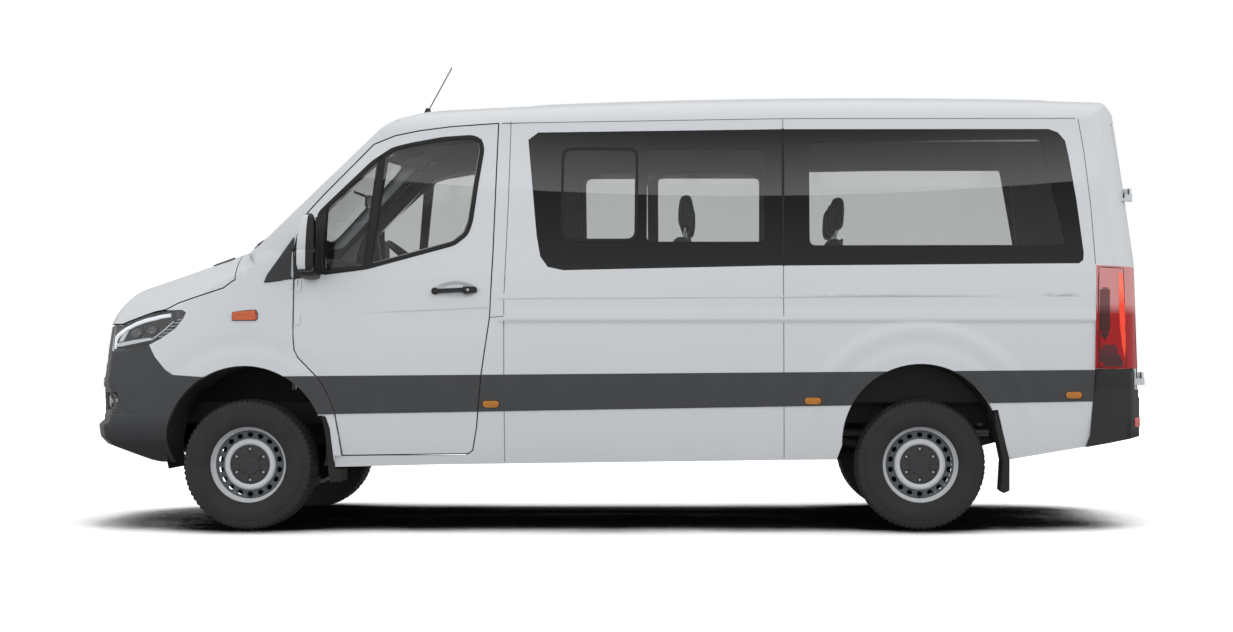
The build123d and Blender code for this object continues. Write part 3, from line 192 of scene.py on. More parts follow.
film = add_node(paint_flow, "Math", {0: near_road.outputs[0], 1: specks.outputs[0]}, operation="MULTIPLY")
dusted = add_node(paint_flow, "MixRGB", {"Fac": film.outputs[0], "Color1": toned.outputs[0],
                                         "Color2": given["Dust"]})
peel = add_node(paint_flow, "TexNoise", {"Vector": place, "Scale": 420.0, "Detail": 1.0})
bump = add_node(paint_flow, "Bump", {"Height": peel.outputs[0], "Distance": given["Peel"], "Strength": 0.4})
dull = add_node(paint_flow, "Math", {0: film.outputs[0], 1: given["Roughness"]}, operation="ADD")
for key, source in (("Colour", dusted.outputs[0]), ("Roughness", dull.outputs[0]),
                    ("Normal", bump.outputs[0])):
    paint_flow.links.new(source, out[key])
white_paint = finish("white_paint", paint_flow, {"Paint": (0.60, 0.625, 0.65, 1), "Roughness": 0.28},
                     Coat_Weight=0.5, Coat_Roughness=0.03)

moulded_grain, given, out = effect_group(
    "moulded_grain", [("Plastic", (0.05, 0.05, 0.05, 1)), ("Worn", (0.08, 0.08, 0.08, 1)),
                      ("Cell Size", 900.0), ("Depth", 0.00006), ("Roughness", 0.5), ("Spread", 0.08),
                      ("Low Tone", 1.0)],
    [("Colour", "Color"), ("Roughness", "Float"), ("Normal", "Vector")])
place = add_node(moulded_grain, "TexCoord").outputs["Object"]
cells = add_node(moulded_grain, "TexVoronoi", {"Vector": place, "Scale": given["Cell Size"]})
cloud = add_node(moulded_grain, "TexNoise", {"Vector": place, "Scale": 7.0, "Detail": 5.0})
height = add_node(moulded_grain, "SeparateXYZ", {"Vector": place}).outputs["Z"]
# Painted shade: below a height of 0.64 the colour is darkened, down to the given share at 0.40 and lower,
# as if less light reached the lower part.
painted_shade_by_height = add_node(moulded_grain, "MapRange", {"Value": height, "From Min": 0.40, "From Max": 0.64,
                                              "To Min": given["Low Tone"], "To Max": 1.0})
blended = add_node(moulded_grain, "MixRGB", {"Fac": cloud.outputs[0], "Color1": given["Plastic"],
                                             "Color2": given["Worn"]})
mixed = add_node(moulded_grain, "HueSaturation", {"Color": blended.outputs[0], "Value": painted_shade_by_height.outputs[0]})
scaled = add_node(moulded_grain, "Math", {0: cloud.outputs[0], 1: given["Spread"], 2: given["Roughness"]},
                  operation="MULTIPLY_ADD")
bump = add_node(moulded_grain, "Bump", {"Height": cells.outputs["Distance"], "Distance": given["Depth"],
                                        "Strength": 0.5})
for key, source in (("Colour", mixed.outputs[0]), ("Roughness", scaled.outputs[0]),
                    ("Normal", bump.outputs[0])):
    moulded_grain.links.new(source, out[key])


def moulded(name, plastic, worn, roughness, cells=900.0, depth=0.00006, spread=0.08, painted_low_shade=1.0,
            **sockets):
    """A grained material between two tones; cells and depth are its grain's fineness and depth."""
    return finish(name, moulded_grain, {"Plastic": (*plastic, 1), "Worn": (*worn, 1),
                                        "Roughness": roughness, "Cell Size": cells, "Depth": depth,
                                        "Spread": spread, "Low Tone": painted_low_shade},
                  **sockets)


# The cladding's colour is darkened towards the bottom, down to 0.12 of its tone: a painted shade.
grey_cladding = moulded("grey_cladding", (0.043, 0.046, 0.049), (0.055, 0.058, 0.062), 0.40, painted_low_shade=0.12)
cabin_lining = moulded("cabin_lining", (0.050, 0.052, 0.055), (0.060, 0.062, 0.066), 0.75, cells=500.0,
                       depth=0.00001)

FRONT_ARCH = (-1.962, 0.455, 0.440)     # centre x, z and radius of each wheel opening
REAR_ARCH = (1.712, 0.479, 0.427)
BAND_TOP = ((-2.20, 0.835), (2.745, 0.874))     # the cladding band's edges, x and z at each end
BAND_LOW = ((-2.20, 0.622), (2.745, 0.704))


def circle_through(a, b, c):
    """Radius and centre of the circle through three points."""
    (ax, ay), (bx, by), (cx, cy) = a, b, c
    d = 2 * (ax * (by - cy) + bx * (cy - ay) + cx * (ay - by))
    a2, b2, c2 = ax * ax + ay * ay, bx * bx + by * by, cx * cx + cy * cy
    x = (a2 * (by - cy) + b2 * (cy - ay) + c2 * (ay - by)) / d
    y = (a2 * (cx - bx) + b2 * (ax - cx) + c2 * (bx - ax)) / d
    return math.hypot(ax - x, ay - y), x, y


# the side's section: an arc from the sill to the waist, and a straight line that leans in to the gutter
WAIST = (0.968, 1.447)
BELLY = circle_through((0.955, 0.330), (1.000, 0.880), WAIST)
LEAN = (0.142, 0.803)
SWEEP, ROOF_CREST = 44.0, (1.450, 2.440)        # the roof's long arc, which the section follows


def side_face(x, z):
    """Half width of the plain body side."""
    level = math.hypot(x - ROOF_CREST[0], z - ROOF_CREST[1] + SWEEP) - SWEEP + ROOF_CREST[1]
    if level > WAIST[1]:
        return WAIST[0] - (level - WAIST[1]) * LEAN[0] / LEAN[1]
    radius, centre_y, centre_z = BELLY
    return centre_y + math.sqrt(radius ** 2 - (level - centre_z) ** 2)


def ease(value):
    """Smooth 0 to 1."""
    value = min(max(value, 0.0), 1.0)
    return value * value * (3 - 2 * value)


def along(line, x):
    """Height of a band edge at x."""
    (x0, z0), (x1, z1) = line
    return z0 + (z1 - z0) * (x - x0) / (x1 - x0)


DOOR_END = -0.60                # x where the front door's pressings stop and the body side's start
SWAGE, CREASE = 1.262, 1.183    # heights of the pressed lines of the body side and of the door
CUP = (-0.815, 1.307)           # middle of the hollow behind the door's handle
CUP_SIZE = (0.122, 0.051)
# each wheel opening, with the radius and width of its flare's edge
FLARES = ((FRONT_ARCH, 0.640, 0.05), (REAR_ARCH, 0.615, 0.07))


def pressing(x, z):
    """How far the pressed shape stands inside the plain skin, in metres."""
    swage = SWAGE + 0.005 * (x - DOOR_END)
    depth = 0.0035 * ease((swage - z) / 0.006) * ease((z - 1.16) / 0.06) * ease((x - DOOR_END) / 0.04)
    crease = CREASE + (x + 1.40) * 0.0425
    from_front, from_back = ease((x + 1.42) / 0.35), ease((DOOR_END - x) / 0.04)
    depth += 0.0040 * ease((crease - z) / 0.010) * ease((z - 1.02) / 0.14) * from_front * from_back
    recess = 0.010 * ease((1.150 - z) / 0.03) * ease((x + 0.62) / 0.10)
    for (cx, cz, radius), crown, edge in FLARES:
        away = math.hypot(x - cx, z - cz)
        recess *= ease((away - crown) / edge)
        if away < crown + edge:
            depth += 0.005 * ease((away - radius - 0.060) / 0.05) * ease((crown - away) / 0.08)
    if abs(x - CUP[0]) < 0.13 and abs(z - CUP[1]) < 0.06:
        depth += 0.015 * ease((1 - math.hypot((x - CUP[0]) / CUP_SIZE[0],
                                              (z - CUP[1]) / CUP_SIZE[1])) / 0.45)
    return depth + recess


def side_normal(x, z, side, surface):
    """Outward normal of the surface y = side * surface(x, z)."""
    gap = 0.0008
    slope_x = (surface(x + gap, z) - surface(x - gap, z)) / (2 * gap)
    slope_z = (surface(x, z + gap) - surface(x, z - gap)) / (2 * gap)
    return Vector((-slope_x, side, -slope_z)).normalized()


def smooth_side(mesh, side, surface, reach=0.012):
    """Shades the faces that lie on the body side by the normal of its exact surface."""
    normals = [corner.vector.copy() for corner in mesh.corner_normals]
    known = {}
    for face in mesh.polygons:
        if abs(face.normal.y) < 0.8:
            continue
        for loop, vert in zip(face.loop_indices, face.vertices):
            place = mesh.vertices[vert].co
            if abs(abs(place.y) - surface(place.x, place.z)) > reach:
                break
            if vert not in known:
                known[vert] = side_normal(place.x, place.z, side, surface)
            normals[loop] = known[vert] * math.copysign(1, face.normal.y * side)
    mesh.normals_split_custom_set(normals)


def weld(mesh, angle=30):
    """Smooth shading with hard edges over an angle, in degrees."""
    for face in mesh.polygons:
        face.use_smooth = True
    mesh.set_sharp_from_angle(angle=math.radians(angle))


def finished_mesh(shape, name, angle=30):
    mesh = bpy.data.meshes.new(name)
    shape.to_mesh(mesh)
    shape.free()
    weld(mesh, angle)
    return mesh


def as_piece(name, form, body, slot, *materials, angle=30):
    """An object of a mesh or a bmesh that rides on a body and takes its finish from the given materials;
    slot is not used.
    """
    mesh = finished_mesh(form, name, angle) if isinstance(form, bmesh.types.BMesh) else form
    made = bpy.data.objects.new(name, mesh)
    bpy.context.collection.objects.link(made)
    for material in materials:
        mesh.materials.append(material)
    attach(made, body)
    return made


def cad_shape(node):
    """A bmesh copy of a CAD node with its doubled corners joined."""
    shape = bmesh.new()
    shape.from_mesh(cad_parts[node].data)
    bmesh.ops.remove_doubles(shape, verts=shape.verts, dist=2e-5)
    for face in shape.faces:
        face.material_index = 0
    shape.normal_update()
    return shape


def cut(shape, point, normal, wanted):
    """Cuts the wanted faces along a plane."""
    faces = [f for f in shape.faces if wanted(f)]
    edges = {e for f in faces for e in f.edges}
    verts = {v for f in faces for v in f.verts}
    bmesh.ops.bisect_plane(shape, geom=[*faces, *edges, *verts], dist=1e-5, plane_co=point, plane_no=normal)


def pressed_panel(node, body):
    """A side panel with its pressings, and the cladding band as a 4 mm moulding on it."""
    shape = cad_shape(node)
    side = 1 if sum(v.co.y for v in shape.verts) > 0 else -1
    outer = lambda f: f.normal.y * side > 0.5 and abs(f.calc_center_median().y) > 0.80
    low = min(v.co.x for v in shape.verts)
    high = max(v.co.x for v in shape.verts)
    levels = [0.34 + 0.03 * k for k in range(33)] + [1.33 + 0.09 * k for k in range(11)]
    levels += [SWAGE + k * 0.004 for k in (-2, -1, 0, 1, 2)] + [1.15 - k * 0.008 for k in range(5)]
    levels += [1.176 + k * 0.005 for k in range(10)]
    for line in (BAND_TOP, BAND_LOW):
        (x0, z0), (x1, z1) = line
        cut(shape, (x0, 0, z0), (z0 - z1, 0, x1 - x0), outer)
    for z in levels:
        cut(shape, (0, 0, z), (0, 0, 1), outer)
    for k in range(int((high - low) / 0.03)):
        cut(shape, (low + 0.03 * (k + 1), 0, 0), (1, 0, 0), outer)

    def by_cup(face):
        middle = face.calc_center_median()
        return outer(face) and abs(middle.x - CUP[0]) < 0.15 and abs(middle.z - CUP[1]) < 0.08
    for k in range(-8, 9):
        cut(shape, (CUP[0] + k * 0.0155, 0, 0), (1, 0, 0), by_cup)
        cut(shape, (0, 0, CUP[1] + k * 0.0068), (0, 0, 1), by_cup)
    shape.normal_update()
    band = []
    for face in shape.faces:
        c = face.calc_center_median()
        facing = face.normal.y * side
        if facing < -0.3 or (c.z > 1.4 and facing < 0.2 and -0.35 < c.x < 2.54):
            face.material_index = 2
        on_band = along(BAND_LOW, c.x) < c.z < along(BAND_TOP, c.x) and c.x > -2.6
        if facing > 0.5 and abs(c.y) > 0.86 and on_band:
            band.append(face)
    for vert in {v for f in shape.faces if outer(f) for v in f.verts}:
        plain = side * side_face(vert.co.x, vert.co.z)
        if abs(plain - vert.co.y) < 0.002:
            vert.co.y = plain
        vert.co.y -= side * pressing(vert.co.x, vert.co.z)
    raised = bmesh.ops.extrude_face_region(shape, geom=band)
    for item in raised["geom"]:
        if isinstance(item, bmesh.types.BMVert):
            item.co.y += side * 0.004
        if isinstance(item, bmesh.types.BMFace):
            item.material_index = 1
            for edge in item.edges:
                for wall in edge.link_faces:
                    wall.material_index = 1 if max(abs(v.co.y) for v in wall.verts) > 0.86 else 0
    bmesh.ops.delete(shape, geom=[f for f in band if f.is_valid], context="FACES_ONLY")
    mesh = finished_mesh(shape, node + "_panel", 26)
    smooth_side(mesh, side, lambda x, z: side_face(x, z) - pressing(x, z), 0.0055)
    piece = as_piece(node + "_panel", mesh, body, "body_white", white_paint, grey_cladding, cabin_lining)
    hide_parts(node)
    return piece


for side in ("left", "right"):
    pressed_panel("body_side_" + side, "body")
    pressed_panel("wing_" + side, "body")
    pressed_panel("front_door_" + side, "front_door_" + side)
pressed_panel("sliding_door", "body")

# ---------------------------------------------------------------- roof, windscreen frame and rear doors
# More pressed steel: the roof has long stiffening ribs, the rear doors a shallow frame pressed
# round the lower half. Inside, all of them are trimmed with grey moulded lining.


def worked(node, body, planes, wanted, move, lined, angle=30):
    """A copy of a panel: wanted faces are cut at planes (axis, place), their points moved by
    move(point), and the faces for which lined(face) is true get the cabin lining."""
    shape = cad_shape(node)
    for axis, place in planes:
        point, normal = Vector((0, 0, 0)), Vector((0, 0, 0))
        point[axis], normal[axis] = place, 1
        cut(shape, point, normal, wanted)
    shape.normal_update()
    for face in shape.faces:
        face.material_index = 2 if lined(face) else 0
    for vert in {v for f in shape.faces if wanted(f) for v in f.verts}:
        vert.co += move(vert.co)
    piece = as_piece(node + "_panel", shape, body, "body_white", white_paint, grey_cladding, cabin_lining,
                     angle=angle)
    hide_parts(node)
    return piece


ROOF_RIBS = [-0.50, -0.25, 0.0, 0.25, 0.50]     # y of each rib's centre line
RIB_FRONT, RIB_BACK = -0.45, 2.50
RIB_HALF, RIB_RISE = 0.036, 0.006


def ribbing(point):
    """How far the roof's pressed ribs stand up."""
    ends = ease((point.x - RIB_FRONT) / 0.08) * ease((RIB_BACK - point.x) / 0.08)
    across = max(ease((RIB_HALF - abs(point.y - y)) / 0.014) for y in ROOF_RIBS)
    return Vector((0, 0, RIB_RISE * ends * across))


rib_edges = [(1, y + offset) for y in ROOF_RIBS
             for offset in (-RIB_HALF, -0.031, -0.022, 0.022, 0.031, RIB_HALF)]
rib_ends = [(0, RIB_FRONT + k * 0.02) for k in range(5)] + [(0, RIB_BACK - k * 0.02) for k in range(5)]
worked("roof_panel", "body", rib_edges + rib_ends + [(0, 0.1 + 0.3 * k) for k in range(8)],
       lambda f: f.normal.z > 0.7 and f.calc_center_median().z > 2.3, ribbing, lambda f: f.normal.z < -0.3)


def cab_lined(face):
    """Whether a face of the windscreen's frame looks into the cab or a wheel arch, or is the bulkhead."""
    middle = face.calc_center_median()
    bulkhead = abs(middle.y) < 0.55 and middle.z < 1.8
    in_arch = math.hypot(middle.x - FRONT_ARCH[0], middle.z - FRONT_ARCH[1]) < 0.46
    return face.normal.x > 0.3 or face.normal.z < -0.5 or bulkhead or in_arch


worked("windscreen_frame", "body", [], lambda f: False, None, cab_lined)
# middle (y, z) and half size of each rear door's pressed field
FIELD, FIELD_HALF = (0.41, 1.10), (0.27, 0.24)
FIELD_DEPTH = 0.008


def door_pressing(point):
    """The pressed field in the lower half of each rear door."""
    across, up = abs(abs(point.y) - FIELD[0]), abs(point.z - FIELD[1])
    away = max(across - FIELD_HALF[0], up - FIELD_HALF[1])
    return Vector((-FIELD_DEPTH * ease(-away / 0.012), 0, 0))


press_edges = [(1, side * (FIELD[0] + end * (FIELD_HALF[0] - k * 0.004)))
               for side in (-1, 1) for end in (-1, 1) for k in range(4)]
press_edges += [(2, FIELD[1] + end * (FIELD_HALF[1] - k * 0.004)) for end in (-1, 1) for k in range(4)]
for side in ("left", "right"):
    worked("rear_door_" + side, "rear_door_" + side, press_edges, lambda f: f.normal.x > 0.7, door_pressing,
           lambda f: f.normal.x < -0.3)

# ---------------------------------------------------------------- window glass
# Laminated and toughened panes, bonded in from outside. Each has a fired black border over its
# glue line; the clear part is lightly tinted. The front pane of each side holds a vent window.


def rounded(corners, radius, bends=4):
    """An outline with each corner replaced by a short curve."""
    smooth = []
    for k, corner in enumerate(corners):
        here = Vector(corner)
        arms = []
        for other in (corners[k - 1], corners[(k + 1) % len(corners)]):
            arm = Vector(other) - here
            arms.append(here + arm.normalized() * min(radius, arm.length * 0.45))
        for step in range(bends + 1):
            t = step / bends
            smooth.append(arms[0] * (1 - t) ** 2 + here * 2 * t * (1 - t) + arms[1] * t * t)
    return smooth


def soft_box(low_u, low_v, high_u, high_v, radius):
    """A rectangle with rounded corners."""
    return rounded([(low_u, low_v), (high_u, low_v), (high_u, high_v), (low_u, high_v)], radius)


def encloses(outline, point):
    """Whether a point (u, v) lies inside an outline."""
    inside = False
    for a, b in zip(outline, outline[1:] + outline[:1]):
        if (a[1] > point[1]) != (b[1] > point[1]):
            if point[0] < (b[0] - a[0]) * (point[1] - a[1]) / (b[1] - a[1]) + a[0]:
                inside = not inside
    return inside


def scored(shape, axis, outline):
    """Cuts every face that an outline crosses along it; the outline is seen along an axis."""
    first, second = [k for k in range(3) if k != axis]
    for a, b in zip(outline, outline[1:] + outline[:1]):
        low = [min(a[k], b[k]) - 0.001 for k in range(2)]
        high = [max(a[k], b[k]) + 0.001 for k in range(2)]

        def crossed(face):
            us = [v.co[first] for v in face.verts]
            vs = [v.co[second] for v in face.verts]
            return max(us) > low[0] and min(us) < high[0] and max(vs) > low[1] and min(vs) < high[1]
        point, normal = Vector((0, 0, 0)), Vector((0, 0, 0))
        point[first], point[second] = a[0], a[1]
        normal[first], normal[second] = a[1] - b[1], b[0] - a[0]
        cut(shape, point, normal, crossed)


pane_film, given, out = effect_group("pane_film", [("Tint", (0.7, 0.7, 0.7, 1))], [("Colour", "Color")])
place = add_node(pane_film, "TexCoord").outputs["Object"]
cloud = add_node(pane_film, "TexNoise", {"Vector": place, "Scale": 2.0, "Detail": 1.0})
shift = add_node(pane_film, "MapRange", {"Value": cloud.outputs[0], "To Min": 0.98, "To Max": 1.02})
toned = add_node(pane_film, "HueSaturation", {"Color": given["Tint"], "Value": shift.outputs[0]})
pane_film.links.new(toned.outputs[0], out["Colour"])


def see_through(name, tint):
    """Glass that lets the lamps' light through without bending it."""
    made = finish(name, pane_film, {"Tint": tint}, Transmission_Weight=1.0, Roughness=0.0, IOR=1.45)
    tree = made.node_tree
    ray = add_node(tree, "LightPath")
    passing = add_node(tree, "Math", {0: ray.outputs["Is Shadow Ray"], 1: ray.outputs["Is Diffuse Ray"]},
                       operation="MAXIMUM")
    straight = add_node(tree, "BsdfTransparent", {"Color": tint})
    both = add_node(tree, "MixShader", {0: passing.outputs[0], 1: tree.nodes["Principled BSDF"].outputs[0],
                                        2: straight.outputs[0]})
    tree.links.new(both.outputs[0], tree.nodes["Material Output"].inputs["Surface"])
    return made


tinted_glass = see_through("tinted_glass", (0.66, 0.67, 0.67, 1))
fired_border = moulded("fired_border", (0.010, 0.010, 0.011), (0.014, 0.014, 0.015), 0.005, cells=1600.0,
                       depth=0.0, spread=0.003)
VENT = rounded([(-0.234, 1.589), (-0.234, 2.080), (0.155, 2.080), (0.155, 1.589)], 0.045)
FRONT_LIGHT = rounded([(0.222, 1.572), (0.222, 2.083), (0.864, 2.083), (0.864, 1.572)], 0.030)
REAR_LIGHT = rounded([(1.111, 1.552), (1.111, 2.122), (2.385, 2.142), (2.505, 1.554)], 0.035)
DOOR_QUARTER = rounded([(-1.529, 1.421), (-1.521, 1.762), (-1.267, 1.992), (-1.324, 1.443)], 0.012)
DOOR_PANE = rounded([(-1.275, 1.449), (-1.197, 2.051), (-1.125, 2.076), (-0.961, 2.104), (-0.706, 2.127),
                     (-0.680, 2.104), (-0.678, 2.074), (-0.699, 1.946), (-0.744, 1.664), (-0.775, 1.610),
                     (-0.825, 1.577)], 0.020, 2)
SCREEN = rounded([(-0.735, 1.672), (0.735, 1.672), (0.630, 2.140), (-0.630, 2.140)], 0.060)


# depth of each face of the side glass under the plain side: in the CAD, and where it is laid
GLASS_FACES = ((0.002, 0.002), (0.008, 0.0074))


def glazed(node, body, axis, clear_parts):
    """A pane with its black border; clear_parts are the outlines that stay see-through."""
    shape = cad_shape(node)
    for outline in clear_parts:
        scored(shape, axis, outline)
    first, second = [k for k in range(3) if k != axis]
    if axis == 1:
        low, high = [pick(v.co.x for v in shape.verts) for pick in (min, max)]
        for k in range(int((high - low) / 0.12)):
            cut(shape, (low + 0.12 * (k + 1), 0, 0), (1, 0, 0), lambda f: abs(f.normal.y) > 0.7)
        for k in range(9):
            cut(shape, (0, 0, 1.45 + 0.09 * k), (0, 0, 1), lambda f: abs(f.normal.y) > 0.7)
        for vert in shape.verts:
            side = math.copysign(1, vert.co.y)
            depth = side_face(vert.co.x, vert.co.z) - abs(vert.co.y)
            for recess, sunk in GLASS_FACES:
                if abs(depth - recess) < 0.002:
                    vert.co.y = side * (side_face(vert.co.x, vert.co.z) - sunk)
    for face in shape.faces:
        middle = face.calc_center_median()
        clear = any(encloses(outline, (middle[first], middle[second])) for outline in clear_parts)
        face.material_index = 0 if clear else 1
    mesh = finished_mesh(shape, node + "_pane", 40)
    if axis == 1:
        smooth_side(mesh, math.copysign(1, mesh.vertices[0].co.y), side_face)
    piece = as_piece(node + "_pane", mesh, body, "tinted_glass", tinted_glass, fired_border)
    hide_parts(node)
    return piece


def rear_light(side):
    """Clear outline of a rear door's window in the (y, z) view."""
    inner, low, high = 0.150, 1.510, 2.060
    edge = lambda z: 0.850 - (z - 0.740) * 0.0762 - 0.170
    return rounded([(side * inner, low), (side * edge(low), low), (side * edge(high), high),
                    (side * inner, high)], 0.05)


SIDES = (("left", -1), ("right", 1))        # name and sign of y
for side_name, side in SIDES:
    glazed("side_windows_" + side_name, "body", 1, [VENT, FRONT_LIGHT, REAR_LIGHT])
    glazed("door_window_" + side_name, "front_door_" + side_name, 1, [DOOR_QUARTER, DOOR_PANE])
    glazed("rear_window_" + side_name, "rear_door_" + side_name, 0, [rear_light(side)])
glazed("windscreen", "body", 0, [SCREEN])

# ---------------------------------------------------------------- rubber seals and panel seams
# Extruded rubber round the vent windows and the door glass, and dark sealant in the joints
# between the fixed panels. All of it follows the skin it lies on.


def skin_of(*pieces):
    """One tree for casting rays at the meshes of several pieces; a name is a CAD node's."""
    verts, faces = [], []
    for piece in pieces:
        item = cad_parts[piece] if isinstance(piece, str) else piece
        start = len(verts)
        verts += [v.co.copy() for v in item.data.vertices]
        faces += [[start + k for k in p.vertices] for p in item.data.polygons]
    return BVHTree.FromPolygons(verts, faces)


# each way of looking turns a place (u, v) into a point on a skin and the skin's outward normal
def on_side(side, inset=0.0):
    """(x, z) on the pressed side of the body."""
    def place(u, v):
        surface = lambda x, z: side_face(x, z) - pressing(x, z) - inset
        return Vector((u, side * surface(u, v), v)), side_normal(u, v, side, surface)
    return place


def met(skin, start, direction):
    """Where a ray first meets a skin."""
    point, normal = skin.ray_cast(start, direction)[:2]
    if point is None:
        point, normal = skin.find_nearest(start + direction * 2)[:2]
    return point, -normal if normal.dot(direction) > 0 else normal


def across_skin(skin, side):
    """(x, z) seen from the side."""
    return lambda u, v: met(skin, Vector((u, side * 3, v)), Vector((0, -side, 0)))


NOSE_AXIS, NOSE_RADIUS = -1.016, 1.85       # the front is curved about an upright line at this x


def round_nose(skin, side):
    """(arc in metres from straight ahead, z) round the nose's upright axis."""
    def place(u, v):
        ahead, out = math.cos(u / NOSE_RADIUS), side * math.sin(u / NOSE_RADIUS)
        return met(skin, Vector((NOSE_AXIS - 3 * ahead, 3 * out, v)), Vector((ahead, -out, 0)))
    return place


def end_on(skin, end):
    """(y, z) seen from the front (end -1) or the back (end 1)."""
    return lambda u, v: met(skin, Vector((end * 4, u, v)), Vector((-end, 0, 0)))


def down_on(skin):
    """(x, y) seen from above."""
    return lambda u, v: met(skin, Vector((u, v, 4)), Vector((0, 0, -1)))


def walked(path, step, closed):
    """A path (u, v) with points added so that none are further apart than step."""
    ends = path[1:] + path[:1] if closed else path[1:]
    points = []
    for a, b in zip(path, ends):
        a, b = Vector(a), Vector(b)
        parts = max(1, math.ceil((b - a).length / step))
        points += [a.lerp(b, k / parts) for k in range(parts)]
    return points if closed else points + [Vector(path[-1])]


def bead(name, place, path, width, lift, body, slot, material, closed=False, step=0.04, sunk=0.004):
    """A strip with rounded edges, laid along a path of (u, v) that place() puts on a skin."""
    laid = [place(*p) for p in walked(path, step, closed)]
    shape = bmesh.new()
    rows = []
    section = [(-0.5, -sunk), (-0.46, lift * 0.6), (-0.3, lift), (0.3, lift), (0.46, lift * 0.6),
               (0.5, -sunk)]
    count = len(laid)
    for k, (point, normal) in enumerate(laid):
        ahead = laid[(k + 1) % count][0] if closed or k < count - 1 else point
        behind = laid[k - 1][0] if closed or k > 0 else point
        across = normal.cross(ahead - behind).normalized()
        rows.append([shape.verts.new(point + across * u * width + normal * v) for u, v in section])
    for k in range(count if closed else count - 1):
        row, following = rows[k], rows[(k + 1) % count]
        for j in range(len(section)):
            other = (j + 1) % len(section)
            shape.faces.new((row[j], row[other], following[other], following[j]))
    if not closed:
        shape.faces.new(rows[0])
        shape.faces.new(rows[-1][::-1])
    bmesh.ops.recalc_face_normals(shape, faces=shape.faces)
    return as_piece(name, shape, body, slot, material, angle=50)


seal_rubber = moulded("seal_rubber", (0.008, 0.008, 0.008), (0.014, 0.014, 0.014), 0.42)
seam_sealant = moulded("seam_sealant", (0.10, 0.105, 0.11), (0.14, 0.145, 0.15), 0.55)
VENT_EDGE = rounded([(-0.242, 1.579), (-0.242, 2.090), (0.166, 2.090), (0.166, 1.579)], 0.050)
DOOR_GLASS_EDGE = rounded([(-1.571, 1.725), (-1.547, 1.399), (-1.307, 1.430), (-0.830, 1.561),
                           (-0.763, 1.615), (-0.740, 1.683), (-0.714, 1.893), (-0.685, 2.085),
                           (-0.698, 2.136), (-0.743, 2.155), (-0.900, 2.144), (-1.075, 2.112),
                           (-1.177, 2.086), (-1.286, 2.011), (-1.522, 1.776)], 0.02, 2)
DOOR_GAP = [(-1.6955, 1.060), (-1.6955, 1.365), (-1.7035, 1.514), (-1.6852, 1.612), (-1.634, 1.735),
            (-1.549, 1.833), (-1.283, 2.114), (-1.165, 2.1635), (-1.033, 2.1905), (-0.858, 2.2135),
            (-0.5985, 2.2318), (-0.6065, 1.893), (-0.6155, 1.488), (-0.6295, 1.157), (-0.6745, 0.844),
            (-0.6995, 0.562), (-0.722, 0.436), (-0.744, 0.4175), (-1.431, 0.4085), (-1.4485, 0.524),
            (-1.4695, 0.643), (-1.5132, 0.755), (-1.5578, 0.8315), (-1.6687, 0.945), (-1.6882, 0.9825)]
# name and path (x, z) of the seams between the fixed panels
SEAMS = [
    ("gutter", [(-0.58, 2.232), (0.963, 2.257), (2.58, 2.259)]),
    ("door_post", [(-0.531, 2.240), (-0.530, 2.202), (-0.536, 1.799), (-0.552, 1.254), (-0.549, 0.372)]),
    ("rear_post", [(2.594, 2.258), (2.621, 2.071), (2.649, 1.772), (2.665, 1.450)]),
    ("mid_upper", [(0.967, 2.255), (0.967, 2.205)]),
    ("mid_lower", [(0.967, 1.436), (0.971, 0.392)]),
    ("post_foot", [(-0.633, 1.157), (-0.552, 1.165)]),
]
for side_name, side in SIDES:
    on_glass = lambda u, v, side=side: (Vector((u, side * (side_face(u, v) - 0.002), v)),
                                        side_normal(u, v, side, side_face))
    door = "front_door_" + side_name
    bead("vent_seal_" + side_name, on_glass, VENT_EDGE, 0.014, 0.003, "body", "black_trim", seal_rubber,
         closed=True)
    bead("pane_joint_" + side_name, on_side(side), [(0.967, 1.438), (0.967, 2.202)], 0.014, 0.0008, "body",
         "black_trim", seal_rubber)
    bead("door_weather_strip_" + side_name, on_side(side, 0.012), DOOR_GAP, 0.0062, 0.0, "body",
         "black_trim", seal_rubber, closed=True, sunk=0.035)
    bead("door_glass_seal_" + side_name, on_glass, DOOR_GLASS_EDGE, 0.026, 0.006, door, "black_trim",
         seal_rubber, closed=True)
    bead("door_divider_" + side_name, on_glass, [(-1.236, 2.045), (-1.298, 1.434)], 0.042, 0.006, door,
         "black_trim", seal_rubber)
    for seam_name, path in SEAMS:
        if side > 0 and seam_name == "mid_lower":
            path = [(u - 0.012, v) for u, v in path]
        bead("seam_%s_%s" % (seam_name, side_name), on_side(side), path, 0.0045, 0.0004, "body",
             "body_white", seam_sealant, sunk=0.001)

# ---------------------------------------------------------------- bonnet
# A pressed steel lid, hinged at the scuttle, with a raised field over the engine. A black
# washer jet is clipped into it on each side near its rear edge.


def bearing(point):
    """Degrees from straight ahead, round the nose's upright axis."""
    return math.degrees(math.atan2(abs(point.y), NOSE_AXIS - point.x))


def outward(point):
    """Away from the nose's upright axis."""
    return Vector((point.x - NOSE_AXIS, point.y, 0)).normalized()


def bonnet_field(point):
    """The raised field, which fades out at both ends of the bonnet."""
    ends = ease((point.x + 2.80) / 0.20) * ease((-2.08 - point.x) / 0.12)
    return Vector((-0.3, 0, 1)) * (0.008 * ends * ease((0.54 - abs(point.y)) / 0.05))


field_cuts = [(1, side * (0.49 + 0.0125 * k)) for side in (-1, 1) for k in range(5)]
worked("bonnet", "bonnet", field_cuts + [(0, -2.80 + 0.05 * k) for k in range(16)],
       lambda f: f.normal.z > 0.3 and f.normal.x < 0.5, bonnet_field, lambda f: f.normal.z < -0.3, 26)
nose_skin = skin_of("bonnet", "grille", "front_bumper", "headlights", "wing_left", "wing_right")


